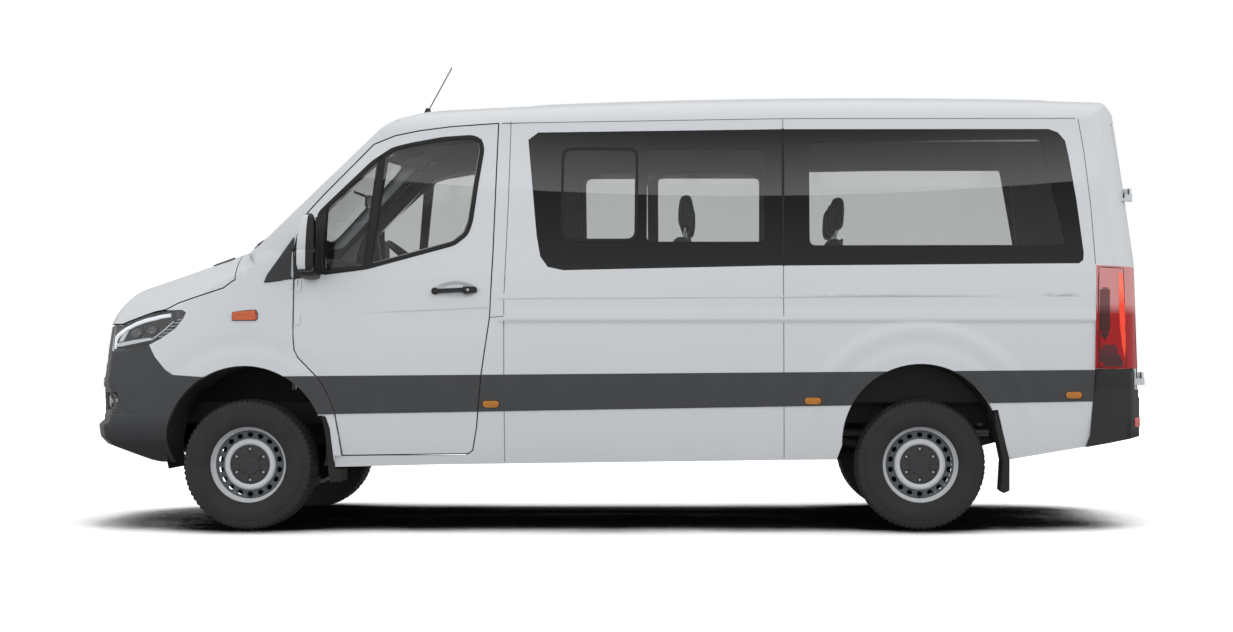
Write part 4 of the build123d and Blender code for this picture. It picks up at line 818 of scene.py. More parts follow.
def thickened(shape, ways, thick):
    """Closes an open sheet into a plate by carrying a copy of it down along the given directions."""
    at = {tuple(v.co): ways[v] for v in shape.verts}
    made = bmesh.ops.extrude_face_region(shape, geom=shape.faces[:])
    for item in made["geom"]:
        if isinstance(item, bmesh.types.BMVert):
            item.co -= at[tuple(item.co)] * thick
    bmesh.ops.recalc_face_normals(shape, faces=shape.faces)


def patch(name, place, outline, thick, lift, body, slot, material, step=0.02, rim=0.002, crown=0.0,
          angle=35):
    """A moulded plate of an outline (u, v) that place() lays on a skin. Its face stands lift proud,
    with a rounded rim and a crown, and it is thick deep."""
    shape = bmesh.new()
    edge = [shape.verts.new((u, v, 0)) for u, v in outline]
    face = shape.faces.new(edge)
    bmesh.ops.inset_region(shape, faces=[face], thickness=rim, use_even_offset=True)
    edge = set(edge)
    bmesh.ops.triangulate(shape, faces=[f for f in shape.faces if len(f.verts) > 4])
    for axis in (0, 1):
        places = [p[axis] for p in outline]
        for k in range(1, int((max(places) - min(places)) / step) + 1):
            point = Vector((0, 0, 0))
            point[axis] = min(places) + k * step
            cut(shape, point, Vector((1 - axis, axis, 0)), lambda f: True)
    middle = Vector((sum(p[0] for p in outline), sum(p[1] for p in outline), 0)) / len(outline)
    reach = max((v.co - middle).length for v in shape.verts)
    ways = {}
    for vert in shape.verts:
        point, normal = place(vert.co.x, vert.co.y)
        bulge = crown * (1 - ((vert.co - middle).length / reach) ** 2)
        ways[vert] = normal
        vert.co = point + normal * (lift + bulge - (rim * 0.7 if vert in edge else 0))
    thickened(shape, ways, thick)
    return as_piece(name, shape, body, slot, material, angle=angle)


def ring_outline(u, v, across, up=None, count=24):
    """A round or oval outline."""
    up = up or across
    turns = [2 * math.pi * k / count for k in range(count)]
    return [(u + across * math.cos(t), v + up * math.sin(t)) for t in turns]


black_plastic = moulded("black_plastic", (0.012, 0.012, 0.013), (0.019, 0.019, 0.020), 0.34)
for side_name, side in SIDES:
    jet = [(-2.215, side * 0.66), (-2.090, side * 0.74), (-2.075, side * 0.70), (-2.195, side * 0.62)]
    patch("washer_jet_" + side_name, down_on(nose_skin), rounded(jet, 0.012), 0.012, 0.007, "bonnet",
          "black_trim", black_plastic)

# ---------------------------------------------------------------- front bumper and grille
# One thick grained moulding from wheel arch to wheel arch, with a mouth for the grille and a
# pocket for a fog lamp at each corner. The grille is a black net with plain bars across it.


def bumper_form(point):
    """How far the moulding stands inside its plain shape."""
    turn, z = bearing(point), point.z
    mouth = 0.014 * ease((21.0 - turn) / 0.4) * ease((z - 0.808) / 0.010)
    pocket = 0.035 * ease(min(turn - 16.0, 28.4 - turn) / 0.5) * ease(min(z - 0.645, 0.752 - z) / 0.012)
    facet = 0.009 * ease((27.8 + (0.78 - z) * 20 - turn) / 1.0) * ease(min(z - 0.622, 0.782 - z) / 0.010)
    tuck = 0.055 * max(0.0, (0.60 - z) / 0.23) ** 2
    return max(mouth, pocket, facet * ease((turn - 13.0) / 1.0)) + tuck


def turned_cuts(shape, degrees, wanted):
    """Cuts both sides of the nose along upright planes at bearings."""
    for turn in degrees:
        for side in (-1, 1):
            normal = Vector((math.sin(math.radians(turn)), side * math.cos(math.radians(turn)), 0))
            cut(shape, Vector((NOSE_AXIS, 0, 0)), normal,
                lambda f: wanted(f) and f.calc_center_median().y * side > -0.02)


shape = cad_shape("front_bumper")
front_faces = lambda f: f.normal.dot(outward(f.calc_center_median())) > 0.3
# bearings and heights at which the face is cut: an even grid, and close lines at each fold
BUMPER_TURNS = [1.5 * k for k in range(1, 24)] + [13.5, 14.0, 16.3, 16.6, 20.6, 20.8, 21.0, 24.6, 27.9,
                                                  28.15, 28.4, 28.8, 29.3, 29.8]
BUMPER_LEVELS = [0.39 + 0.024 * k for k in range(26)] + [0.808, 0.813, 0.818, 0.645, 0.651, 0.657, 0.740,
                                                         0.746, 0.752, 0.622, 0.627, 0.632, 0.772, 0.777,
                                                         0.782]
turned_cuts(shape, BUMPER_TURNS, front_faces)
for level in BUMPER_LEVELS:
    cut(shape, (0, 0, level), (0, 0, 1), front_faces)
shape.normal_update()
for face in shape.faces:
    middle = face.calc_center_median()
    grille_side = bearing(middle) < 24.6 and middle.z > 0.818
    face.material_index = 1 if front_faces(face) and (grille_side or bumper_form(middle) > 0.0135) else 0
for vert in {v for f in shape.faces if front_faces(f) for v in f.verts}:
    vert.co -= outward(vert.co) * bumper_form(vert.co)
bumper = as_piece("front_bumper_moulding", shape, "body", "grey_trim", grey_cladding, black_plastic,
                  angle=32)
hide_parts("front_bumper")


def shell(node, degrees, chosen, top, bottom, rim=0.0, rim_top=0.0):
    """The chosen outer faces of a node as a plate from depth top to depth bottom. Its edge
    stands at depth rim_top for a width of rim."""
    shape = cad_shape(node)
    turned_cuts(shape, degrees, lambda f: True)
    shape.normal_update()
    bmesh.ops.delete(shape, geom=[f for f in shape.faces if not (front_faces(f) and chosen(f))],
                     context="FACES")
    outer = {v for e in shape.edges if e.is_boundary for v in e.verts}
    if rim:
        bmesh.ops.inset_region(shape, faces=shape.faces[:], thickness=rim, use_even_offset=True)
    shape.normal_update()
    ways = {v: v.normal.copy() for v in shape.verts}
    for vert in shape.verts:
        vert.co -= ways[vert] * (rim_top if rim and vert in outer else top)
    thickened(shape, ways, bottom - top)
    return shape


LAMP_START = 25.0       # bearing at which the grille's surround ends and each lamp starts
grille_net = moulded("grille_net", (0.004, 0.004, 0.004), (0.010, 0.010, 0.010), 0.45, cells=110.0,
                     depth=0.006)
net = as_piece("grille_net", shell("grille", [3.0 * k for k in range(5)], lambda f: True, 0.020, 0.038),
               "body", "black_trim", grille_net)
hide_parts("grille")
on_nose = round_nose(nose_skin, 1)
for number, level in enumerate((0.895, 0.955, 1.015, 1.075)):
    reach = 0.665 - 0.006 * number
    bead("grille_bar_%d" % (number + 1), on_nose, [(-reach, level), (reach, level)], 0.020, -0.002, "body",
         "black_trim", black_plastic, sunk=0.026)
bead("grille_frame", on_nose, [(-0.672, 0.822), (0.672, 0.822)], 0.014, 0.001, "body", "black_trim",
     black_plastic, sunk=0.02)
blank_plate = moulded("blank_plate", (0.62, 0.63, 0.63), (0.68, 0.69, 0.69), 0.35, cells=300.0,
                      depth=0.00005, Coat_Weight=0.3)
patch("front_plate_holder", end_on(nose_skin, -1), soft_box(-0.268, 0.650, 0.268, 0.778, 0.012),
      0.020, 0.010, "body", "black_trim", black_plastic, step=0.06)
patch("front_plate", end_on(nose_skin, -1), soft_box(-0.260, 0.659, 0.260, 0.769, 0.010),
      0.002, 0.013, "body", "body_white", blank_plate, step=0.06, rim=0.001)
INTAKE = rounded([(-0.30, 0.515), (0.30, 0.515), (0.34, 0.560), (-0.34, 0.560)], 0.01)
patch("lower_intake", on_nose, INTAKE, 0.012, 0.001, "body", "black_trim", grille_net, step=0.06)

# ---------------------------------------------------------------- headlights
# A dark moulded bowl behind a clear polycarbonate lens. In it are a white light guide, two
# projector lenses, a slanted silver fin with dark ribs and a bright lower reflector.
polished_silver = moulded("polished_silver", (0.55, 0.56, 0.57), (0.66, 0.67, 0.68), 0.22, cells=60.0,
                          depth=0.0, Metallic=0.85)
bowl_black = moulded("bowl_black", (0.012, 0.013, 0.014), (0.024, 0.025, 0.027), 0.22, cells=200.0,
                     depth=0.0, Metallic=0.1)
light_guide = moulded("light_guide", (0.72, 0.74, 0.76), (0.80, 0.82, 0.84), 0.25, cells=90.0, depth=0.0001,
                      Coat_Weight=0.4, Emission_Color=(0.9, 0.92, 0.95, 1), Emission_Strength=0.32)
projector_glass = moulded("projector_glass", (0.05, 0.052, 0.056), (0.09, 0.094, 0.10), 0.06, cells=80.0,
                          depth=0.0, Metallic=0.4, Coat_Weight=0.5)
lamp_lens = see_through("lamp_lens", (0.93, 0.94, 0.95, 1))
# paths and outlines in the lamp and the bumper's pocket, in (arc, z) round the nose
GUIDE = [(0.829, 0.990), (0.825, 1.028), (0.838, 1.068), (0.868, 1.100), (0.905, 1.127), (0.95, 1.148),
         (1.03, 1.168), (1.075, 1.175)]
LOWER_REFLECTOR = [(0.846, 1.002), (0.88, 1.006), (0.94, 1.020), (1.02, 1.040), (1.005, 1.052),
                   (0.93, 1.040), (0.88, 1.028), (0.846, 1.022)]
INNER_PANEL = [(0.848, 1.030), (0.872, 1.034), (0.884, 1.092), (0.858, 1.074)]
FOG_CLIP = rounded([(0.905, 0.700), (0.914, 0.696), (0.916, 0.716), (0.906, 0.720)], 0.002)
for side_name, side in SIDES:
    inside = lambda f: bearing(f.calc_center_median()) > LAMP_START and f.calc_center_median().y * side > 0
    before = lambda f: bearing(f.calc_center_median()) < LAMP_START and f.calc_center_median().y * side > 0
    surround = shell("headlights", [LAMP_START, 16.0, 19.0, 22.0], before, 0.001, 0.038)
    as_piece("grille_surround_" + side_name, surround, "body", "black_trim", black_plastic)
    hollow = shell("headlights", [LAMP_START], inside, 0.026, 0.039, 0.010, 0.0045)
    bowl = as_piece("headlight_bowl_" + side_name, hollow, "body", "black_trim", bowl_black, angle=40)
    as_piece("headlight_lens_" + side_name, shell("headlights", [LAMP_START], inside, 0.0, 0.003), "body",
             "headlight_clear", lamp_lens, angle=40)
    if side < 0:
        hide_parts("headlights")

    def within(depth, side=side):
        """(arc in metres, z) round the nose, at a depth under its skin."""
        plain = round_nose(nose_skin, side)

        def place(u, v):
            point, normal = plain(u, v)
            return point - normal * depth, normal
        return place
    bead("light_guide_" + side_name, within(0.013), GUIDE, 0.021, 0.006, "body", "headlight_clear",
         light_guide, step=0.015, sunk=0.006)
    bead("lamp_brow_" + side_name, within(0.004), [(u, v + 0.016) for u, v in GUIDE[3:]], 0.010, 0.001,
         "body", "black_trim", black_plastic, step=0.03, sunk=0.01)
    patch("lower_reflector_" + side_name, within(0.014), LOWER_REFLECTOR, 0.010, 0.002, "body",
          "wheel_silver", polished_silver, rim=0.003)
    bead("lamp_fin_" + side_name, within(0.012), [(1.020, 1.044), (1.062, 1.090), (1.100, 1.140)], 0.009,
         0.005, "body", "wheel_silver", polished_silver, step=0.02, sunk=0.010)
    for rib in range(6):
        u, v = 1.046 + 0.0145 * rib, 1.050 + 0.0185 * rib
        bead("lamp_rib_%s_%d" % (side_name, rib + 1), within(0.011),
             [(u, v + 0.006), (u + 0.028, v + 0.010)], 0.005, 0.003, "body", "wheel_silver",
             polished_silver, step=0.02, sunk=0.010)
    for number, (u, v, size) in enumerate(((0.925, 1.080, 0.032), (0.998, 1.096, 0.030))):
        patch("projector_ring_%s_%d" % (side_name, number + 1), within(0.020), ring_outline(u, v, size),
              0.012, 0.003, "body", "black_trim", bowl_black, rim=0.005)
        patch("projector_%s_%d" % (side_name, number + 1), within(0.018), ring_outline(u, v, size - 0.008),
              0.012, 0.002, "body", "headlight_clear", projector_glass, rim=0.003, crown=0.006)
    patch("lamp_inner_panel_" + side_name, within(0.018), INNER_PANEL, 0.008, 0.002, "body",
          "wheel_silver", polished_silver, rim=0.004)
    # fog lamp and bright bezel clip in the bumper's pocket, and the parking sensor
    patch("fog_lamp_" + side_name, within(0.030), ring_outline(0.74, 0.700, 0.034), 0.012, 0.006, "body",
          "headlight_clear", polished_silver, rim=0.005, crown=0.005)
    patch("fog_clip_" + side_name, within(0.024), FOG_CLIP, 0.020, 0.004, "body", "wheel_silver",
          polished_silver, rim=0.001)
    patch("front_sensor_" + side_name, within(0.001), ring_outline(1.023, 0.641, 0.009, 0.009, 12), 0.008,
          0.002, "body", "black_trim", black_plastic, rim=0.002)

# ---------------------------------------------------------------- scuttle and front wipers
# A black moulded trough closes the gap between the bonnet and the windscreen. The two wiper
# arms rise through it and rest low across the glass.
screen_skin = skin_of("windscreen", "windscreen_frame")


def on_screen(u, v):
    """(arc in metres, z) on the front of the cab, which is curved about an upright line far back."""
    ahead, out = math.cos(u / 3.56), math.sin(u / 3.56)
    return met(screen_skin, Vector((1.5 - 4.5 * ahead, 4.5 * out, v)), Vector((ahead, -out, 0)))


SCUTTLE = rounded([(-0.78, 1.500), (0.78, 1.500), (0.80, 1.545), (0.70, 1.588), (-0.70, 1.588),
                   (-0.80, 1.545)], 0.02)
patch("scuttle_panel", on_screen, SCUTTLE, 0.012, 0.004, "body", "black_trim", black_plastic, step=0.05)
for number, (foot, bend, tip) in enumerate((((-0.62, 1.560), (-0.40, 1.640), (-0.05, 1.668)),
                                            ((0.02, 1.560), (0.22, 1.650), (0.60, 1.676)))):
    bead("wiper_arm_%d" % (number + 1), on_screen, [foot, bend, tip], 0.016, 0.026, "body", "black_trim",
         black_plastic, sunk=-0.012)
    bead("wiper_blade_%d" % (number + 1), on_screen,
         [(foot[0] + 0.06, foot[1] + 0.062), (tip[0] + 0.10, tip[1] - 0.006)], 0.012, 0.014, "body",
         "black_trim", seal_rubber, sunk=0.0)
    patch("wiper_spindle_%d" % (number + 1), on_screen, ring_outline(foot[0], foot[1], 0.022, 0.022, 16),
          0.020, 0.022, "body", "black_trim", black_plastic, rim=0.004)

# ---------------------------------------------------------------- door mirrors
# Each housing has a white shell in front and a black case behind, in two parts with a groove
# between. It stands on a black foot that is bolted to the door's front corner.


def loft(rings):
    """A closed skin through rings of points, with flat ends."""
    shape = bmesh.new()
    rows = [[shape.verts.new(p) for p in ring] for ring in rings]
    for row, following in zip(rows, rows[1:]):
        for k in range(len(row)):
            j = (k + 1) % len(row)
            shape.faces.new((row[k], row[j], following[j], following[k]))
    shape.faces.new(rows[0][::-1])
    shape.faces.new(rows[-1])
    bmesh.ops.recalc_face_normals(shape, faces=shape.faces)
    return shape


def lofted(name, rings, body, slot, *materials, angle=40):
    return as_piece(name, loft(rings), body, slot, *materials, angle=angle)


def squared(centre, first, second, power=4.0, count=28):
    """A ring between an oval and a rectangle: first and second are its half-axes."""
    ring = []
    for k in range(count):
        turn = 2 * math.pi * (k + 0.5) / count
        c, s = math.cos(turn), math.sin(turn)
        ring.append(Vector(centre) + Vector(first) * math.copysign(abs(c) ** (2 / power), c)
                    + Vector(second) * math.copysign(abs(s) ** (2 / power), s))
    return ring


mirror_silver = moulded("mirror_silver", (0.055, 0.058, 0.062), (0.07, 0.073, 0.078), 0.02, cells=10.0,
                        depth=0.0, spread=0.01, Metallic=1.0)
# height, front edge, rear edge, inner and outer half width of each level of the housing
MIRROR_LEVELS = [(1.398, -1.600, -1.580, 1.060, 1.110), (1.402, -1.632, -1.556, 1.030, 1.145),
                 (1.412, -1.642, -1.545, 1.016, 1.158), (1.440, -1.648, -1.537, 1.008, 1.169),
                 (1.500, -1.648, -1.534, 1.006, 1.171), (1.510, -1.648, -1.534, 1.006, 1.171),
                 (1.514, -1.646, -1.537, 1.009, 1.168), (1.518, -1.646, -1.537, 1.009, 1.168),
                 (1.522, -1.647, -1.534, 1.006, 1.171), (1.580, -1.643, -1.533, 1.006, 1.171),
                 (1.640, -1.635, -1.533, 1.007, 1.170), (1.685, -1.622, -1.538, 1.012, 1.164),
                 (1.704, -1.610, -1.548, 1.022, 1.150), (1.713, -1.598, -1.562, 1.045, 1.125)]
MIRROR_GLASS = rounded([(1.018, 1.532), (1.160, 1.532), (1.156, 1.690), (1.024, 1.690)], 0.018)
MIRROR_WIDE_GLASS = rounded([(1.020, 1.420), (1.158, 1.420), (1.160, 1.503), (1.018, 1.503)], 0.014)
MIRROR_SAIL = rounded([(-1.697, 1.366), (-1.545, 1.392), (-1.530, 1.770), (-1.625, 1.660),
                       (-1.697, 1.572)], 0.006)
MIRROR_TURN = 0.26                  # slope of the housing's back, which is turned to the driver
MIRROR_CORNER = (-1.534, 1.171)     # x and half width of its rear outer corner
for side_name, side in SIDES:
    door = "front_door_" + side_name
    rings = [squared(((low + high) / 2, side * (inner + outer) / 2, z), ((high - low) / 2, 0, 0),
                     (0, (outer - inner) / 2, 0), 3.6, 30)
             for z, low, high, inner, outer in MIRROR_LEVELS]
    for ring, (z, low, high, inner, outer) in zip(rings, MIRROR_LEVELS):
        for point in ring:
            point.x -= MIRROR_TURN * (outer - abs(point.y)) * (point.x - low) / (high - low)
    housing = lofted("mirror_housing_" + side_name, rings, door, "black_trim", white_paint, black_plastic)
    for face in housing.data.polygons:
        x, y, z = face.center
        parting = -1.5935 + 0.065 * max(0.0, z - 1.50)
        face.material_index = 0 if x < parting and 1.42 < z < 1.708 else 1
    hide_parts("mirror_" + side_name)
    facing_back = lambda u, v, side=side: (
        Vector((MIRROR_CORNER[0] - MIRROR_TURN * (MIRROR_CORNER[1] - u), side * u, v)),
        Vector((1, -side * MIRROR_TURN, 0)).normalized())
    patch("mirror_glass_" + side_name, facing_back, MIRROR_GLASS, 0.003, 0.003, door, "wheel_silver",
          mirror_silver, step=0.04, rim=0.001)
    patch("mirror_wide_glass_" + side_name, facing_back, MIRROR_WIDE_GLASS, 0.003, 0.003, door,
          "wheel_silver", mirror_silver, step=0.04, rim=0.001, crown=0.001)
    foot = [((-1.600, side * y, z), (a, 0, 0), (0, 0, b)) for y, z, a, b in (
        (0.955, 1.390, 0.048, 0.026), (0.985, 1.388, 0.045, 0.022), (1.030, 1.387, 0.042, 0.018),
        (1.070, 1.392, 0.040, 0.014), (1.090, 1.402, 0.036, 0.010), (1.095, 1.410, 0.020, 0.005))]
    lofted("mirror_foot_" + side_name, [squared(*row) for row in foot], door, "black_trim", black_plastic)
    door_skin = skin_of(door, "door_window_" + side_name)
    patch("mirror_sail_" + side_name, across_skin(door_skin, side), MIRROR_SAIL, 0.008, 0.005, door,
          "black_trim", black_plastic, step=0.02)
    for number, z in enumerate((1.150, 1.330)):
        patch("hinge_cover_%s_%d" % (side_name, number + 1), on_side(side),
              soft_box(-1.690, z - 0.034, -1.655, z + 0.034, 0.008),
              0.004, 0.0055, door, "body_white", white_paint, rim=0.003)

# ---------------------------------------------------------------- handles, markers and side trim
# Black pull handles over a pressed cup, each with its lock. Orange indicators are screwed to the
# wings and amber markers clipped to the cladding; black triangles close the windscreen's corners.
indicator_orange = moulded("indicator_orange", (0.52, 0.085, 0.022), (0.62, 0.13, 0.035), 0.16, cells=160.0,
                           depth=0.0012, Coat_Weight=0.6)
marker_amber = moulded("marker_amber", (0.42, 0.145, 0.010), (0.52, 0.20, 0.02), 0.18, cells=220.0,
                       depth=0.0012, Coat_Weight=0.6)
corner_plastic = moulded("corner_plastic", (0.030, 0.032, 0.034), (0.038, 0.040, 0.043), 0.38)
HANDLE_HEIGHT = 1.306
# name, corner radius, thickness, height and corners of each foot of a handle
HANDLE_FEET = (
    ("_front_foot", 0.012, 0.038, 0.022,
     ((-0.128, -0.022), (-0.094, -0.024), (-0.094, 0.013), (-0.128, 0.009))),
    ("_lock_foot", 0.014, 0.036, 0.020, ((0.038, -0.019), (0.117, -0.015), (0.117, 0.017), (0.038, 0.019))))
MARKERS = [(-0.621, 0.688), (1.127, 0.705), (2.543, 0.737)]     # middle (x, z) of each
INDICATOR_MIDDLE = (-1.9605, 1.168)
INDICATOR = [(-2.029, 1.185), (-1.960, 1.193), (-1.904, 1.196), (-1.893, 1.183), (-1.893, 1.153),
             (-1.904, 1.144), (-2.029, 1.144)]
SCREEN_CORNER = rounded([(-1.856, 1.350), (-1.846, 1.384), (-1.702, 1.600), (-1.699, 1.368)], 0.010)
cab_skin = {side: skin_of("wing_" + name, "windscreen_frame") for name, side in SIDES}


def pull_handle(name, side, x, z, body):
    """A bar handle on two feet over the skin; its rear foot holds the lock."""
    plain = lambda u, v: (Vector((u, side * side_face(u, v), v)), side_normal(u, v, side, side_face))
    bead(name + "_bar", plain, [(x - 0.120, z - 0.006), (x - 0.05, z - 0.003), (x + 0.06, z + 0.002)],
         0.026, 0.024, body, "black_trim", black_plastic, sunk=-0.006)
    for foot, radius, thick, lift, corners in HANDLE_FEET:
        patch(name + foot, plain, rounded([(x + u, z + v) for u, v in corners], radius), thick, lift, body,
              "black_trim", black_plastic, rim=0.004)
    patch(name + "_key", plain, ring_outline(x + 0.069, z, 0.008, 0.008, 14), 0.004, 0.0225, body,
          "wheel_silver", polished_silver, rim=0.0015)


for side_name, side in SIDES:
    on_wing = across_skin(cab_skin[side], side)
    for number, (x, z) in enumerate(MARKERS):
        outline = soft_box(x - 0.048, z - 0.0215, x + 0.048, z + 0.0215, 0.021)
        patch("marker_seat_%s_%d" % (side_name, number + 1), on_side(side), outline, 0.010, 0.0065, "body",
              "grey_trim", black_plastic, rim=0.002)
        inner = [(x + (u - x) * 0.90, z + (v - z) * 0.84) for u, v in outline]
        patch("marker_%s_%d" % (side_name, number + 1), on_side(side), inner, 0.010, 0.0105, "body",
              "tail_light_red", marker_amber, rim=0.004)
        bead("marker_rib_%s_%d" % (side_name, number + 1), on_side(side), [(x - 0.018, z), (x + 0.034, z)],
             0.020, 0.0122, "body", "tail_light_red", marker_amber)
    middle_u, middle_v = INDICATOR_MIDDLE
    seat = [(middle_u + (u - middle_u) * 1.05, middle_v + (v - middle_v) * 1.16) for u, v in INDICATOR]
    patch("indicator_seat_" + side_name, on_wing, seat, 0.012, 0.004, "body", "black_trim", corner_plastic,
          rim=0.002)
    patch("indicator_" + side_name, on_wing, INDICATOR, 0.010, 0.012, "body", "tail_light_red",
          indicator_orange, rim=0.006)
    bead("indicator_ridge_" + side_name, on_wing, [(-2.010, 1.172), (-1.945, 1.176), (-1.925, 1.160)],
         0.004, 0.0145, "body", "tail_light_red", indicator_orange, sunk=-0.006)
    for number, (x, z) in enumerate(((-2.021, 1.165), (-1.902, 1.177))):
        patch("indicator_screw_%s_%d" % (side_name, number + 1), on_wing,
              ring_outline(x, z, 0.006, 0.008, 12), 0.006, 0.0125, "body", "black_trim", black_plastic,
              rim=0.0015)
    patch("screen_corner_" + side_name, on_wing, SCREEN_CORNER, 0.012, 0.008, "body", "black_trim",
          corner_plastic, step=0.02)
    bead("screen_corner_seal_" + side_name, on_wing, [(-1.856, 1.352), (-1.699, 1.370)], 0.012, 0.006,
         "body", "black_trim", seal_rubber)
    pull_handle("door_handle_" + side_name, side, CUP[0], HANDLE_HEIGHT, "front_door_" + side_name)
pull_handle("sliding_door_handle", 1, -0.36, HANDLE_HEIGHT, "body")
rail_skin = on_side(1)
bead("sliding_door_rail", rail_skin, [(1.05, 1.405), (2.46, 1.405)], 0.034, 0.010, "body", "grey_trim",
     grey_cladding)
bead("sliding_door_slot", rail_skin, [(1.06, 1.404), (2.45, 1.404)], 0.008, 0.0106, "body", "black_trim",
     black_plastic)

# ---------------------------------------------------------------- tail lights
# Tall red lenses at the rear corners. Each has a pale top, a ribbed dark column for the
# reversing lamp, a glowing strip along its rear edge and a maroon foot.
lens_fade, given, out = effect_group(
    "lens_fade", [("Low", (0.3, 0.01, 0.01, 1)), ("High", (0.6, 0.3, 0.3, 1)), ("Level", 1.2),
                  ("Soft", 0.05)],
    [("Colour", "Color"), ("Normal", "Vector")])
place = add_node(lens_fade, "TexCoord").outputs["Object"]
level = add_node(lens_fade, "SeparateXYZ", {"Vector": place}).outputs["Z"]
over = add_node(lens_fade, "Math", {0: level, 1: given["Level"]}, operation="SUBTRACT")
part = add_node(lens_fade, "Math", {0: over.outputs[0], 1: given["Soft"]}, operation="DIVIDE",
                use_clamp=True)
tone = add_node(lens_fade, "MixRGB", {"Fac": part.outputs[0], "Color1": given["Low"],
                                      "Color2": given["High"]})
prisms = add_node(lens_fade, "TexVoronoi", {"Vector": place, "Scale": 160.0})
bump = add_node(lens_fade, "Bump", {"Height": prisms.outputs["Distance"], "Distance": 0.00015,
                                    "Strength": 0.25})
lens_fade.links.new(tone.outputs[0], out["Colour"])
lens_fade.links.new(bump.outputs[0], out["Normal"])


def faded(name, low, high, level, soft, **sockets):
    """A lens material: one colour low down, which fades into another over a height of soft from level."""
    return finish(name, lens_fade, {"Low": (*low, 1), "High": (*high, 1), "Level": level, "Soft": soft},
                  **sockets)


tail_lens = faded("tail_lens", (0.36, 0.002, 0.004), (0.64, 0.27, 0.27), 1.175, 0.06, Roughness=0.06,
                  Coat_Weight=0.1)
tail_foot = faded("tail_foot", (0.050, 0.008, 0.012), (0.10, 0.008, 0.012), 0.93, 0.05, Roughness=0.10,
                  Coat_Weight=0.6)
tail_strip = faded("tail_strip", (0.80, 0.045, 0.012), (0.85, 0.20, 0.13), 1.22, 0.10, Roughness=0.10,
                   Coat_Weight=0.5, Emission_Color=(0.9, 0.06, 0.015, 1), Emission_Strength=0.25)
tail_column = faded("tail_column", (0.045, 0.004, 0.006), (0.22, 0.09, 0.09), 1.175, 0.06, Roughness=0.14,
                    Coat_Weight=0.5)
# outlines of the lens's parts in the side view
TAIL_COLUMN = rounded([(2.684, 1.080), (2.712, 1.030), (2.740, 1.080), (2.742, 1.322), (2.686, 1.322)],
                      0.008)
TAIL_FOOT = rounded([(2.684, 0.895), (2.826, 0.895), (2.790, 0.965), (2.776, 1.010), (2.684, 1.010)], 0.006)
TAIL_STRIP = [(2.792, 1.405), (2.793, 1.250), (2.798, 1.110), (2.812, 1.000), (2.826, 0.935),
              (2.832, 0.990), (2.831, 1.100), (2.826, 1.260), (2.816, 1.405)]
for side_name, side in SIDES:
    shape = cad_shape("tail_lights")
    bmesh.ops.delete(shape, geom=[f for f in shape.faces if f.calc_center_median().y * side < 0],
                     context="FACES")
    lens = as_piece("tail_lens_" + side_name, shape, "body", "tail_light_red", tail_lens, angle=35)
    if side < 0:
        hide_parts("tail_lights")
    corner = across_skin(skin_of("tail_lights"), side)
    bead("tail_rim_" + side_name, corner, [(2.672, 0.890), (2.682, 1.434), (2.822, 1.427), (2.836, 0.890)],
         0.005, 0.0012, "body", "black_trim", black_plastic, closed=True)
    patch("tail_column_" + side_name, corner, TAIL_COLUMN, 0.003, 0.0012, "body", "tail_light_red",
          tail_column, step=0.03)
    for rib in range(21):
        z = 1.076 + 0.0115 * rib
        bead("tail_rib_%s_%d" % (side_name, rib + 1), corner, [(2.690, z), (2.736, z)], 0.004, 0.0024,
             "body", "tail_light_red", tail_foot, sunk=-0.0008)
    patch("tail_foot_" + side_name, corner, TAIL_FOOT, 0.003, 0.0010, "body", "tail_light_red", tail_foot,
          step=0.03)
    patch("tail_strip_" + side_name, corner, TAIL_STRIP, 0.003, 0.0014, "body", "tail_light_red",
          tail_strip, step=0.03)

# ---------------------------------------------------------------- rear bumper and rear doors' fittings
# A black moulded bumper with a ribbed tread plate on top. The doors carry white hinges, a
# handle, a blank number plate and wipers, and the brake light sits over them.
rear_plastic = moulded("rear_plastic", (0.017, 0.018, 0.019), (0.024, 0.025, 0.026), 0.42)
rear_reflector = faded("rear_reflector", (0.55, 0.10, 0.09), (0.62, 0.16, 0.14), 0.58, 0.05, Roughness=0.12,
                       Coat_Weight=0.6)
worked_bumper = cad_shape("rear_bumper")
rear_outer = lambda f: f.normal.z < 0.9 and (f.normal.x > 0.2 or abs(f.normal.y) > 0.5)
GROOVE = 0.777          # height of the groove round the moulding
for level in (0.768, 0.774, 0.780, 0.786):
    cut(worked_bumper, (0, 0, level), (0, 0, 1), rear_outer)
for vert in worked_bumper.verts:
    groove = 0.003 * ease(1 - abs(vert.co.z - GROOVE) / 0.006)
    if vert.co.x > 2.64:
        vert.co.y -= math.copysign(groove, vert.co.y)
        vert.co.x -= groove if vert.co.x > 2.88 else 0
moulding = as_piece("rear_bumper_moulding", worked_bumper, "body", "black_trim", rear_plastic, angle=32)
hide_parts("rear_bumper")
back_skin = skin_of("rear_bumper", "rear_door_left", "rear_door_right", "roof_panel", "rear_window_left",
                    "rear_window_right", "body_side_left", "body_side_right")
at_back = end_on(back_skin, 1)
step_skin = skin_of("rear_bumper")
for number in range(7):
    x = 2.735 + 0.026 * number
    bead("bumper_tread_%d" % (number + 1), down_on(step_skin), [(x, -0.56), (x, 0.56)], 0.012, 0.004,
         "body", "black_trim", rear_plastic, step=0.2)
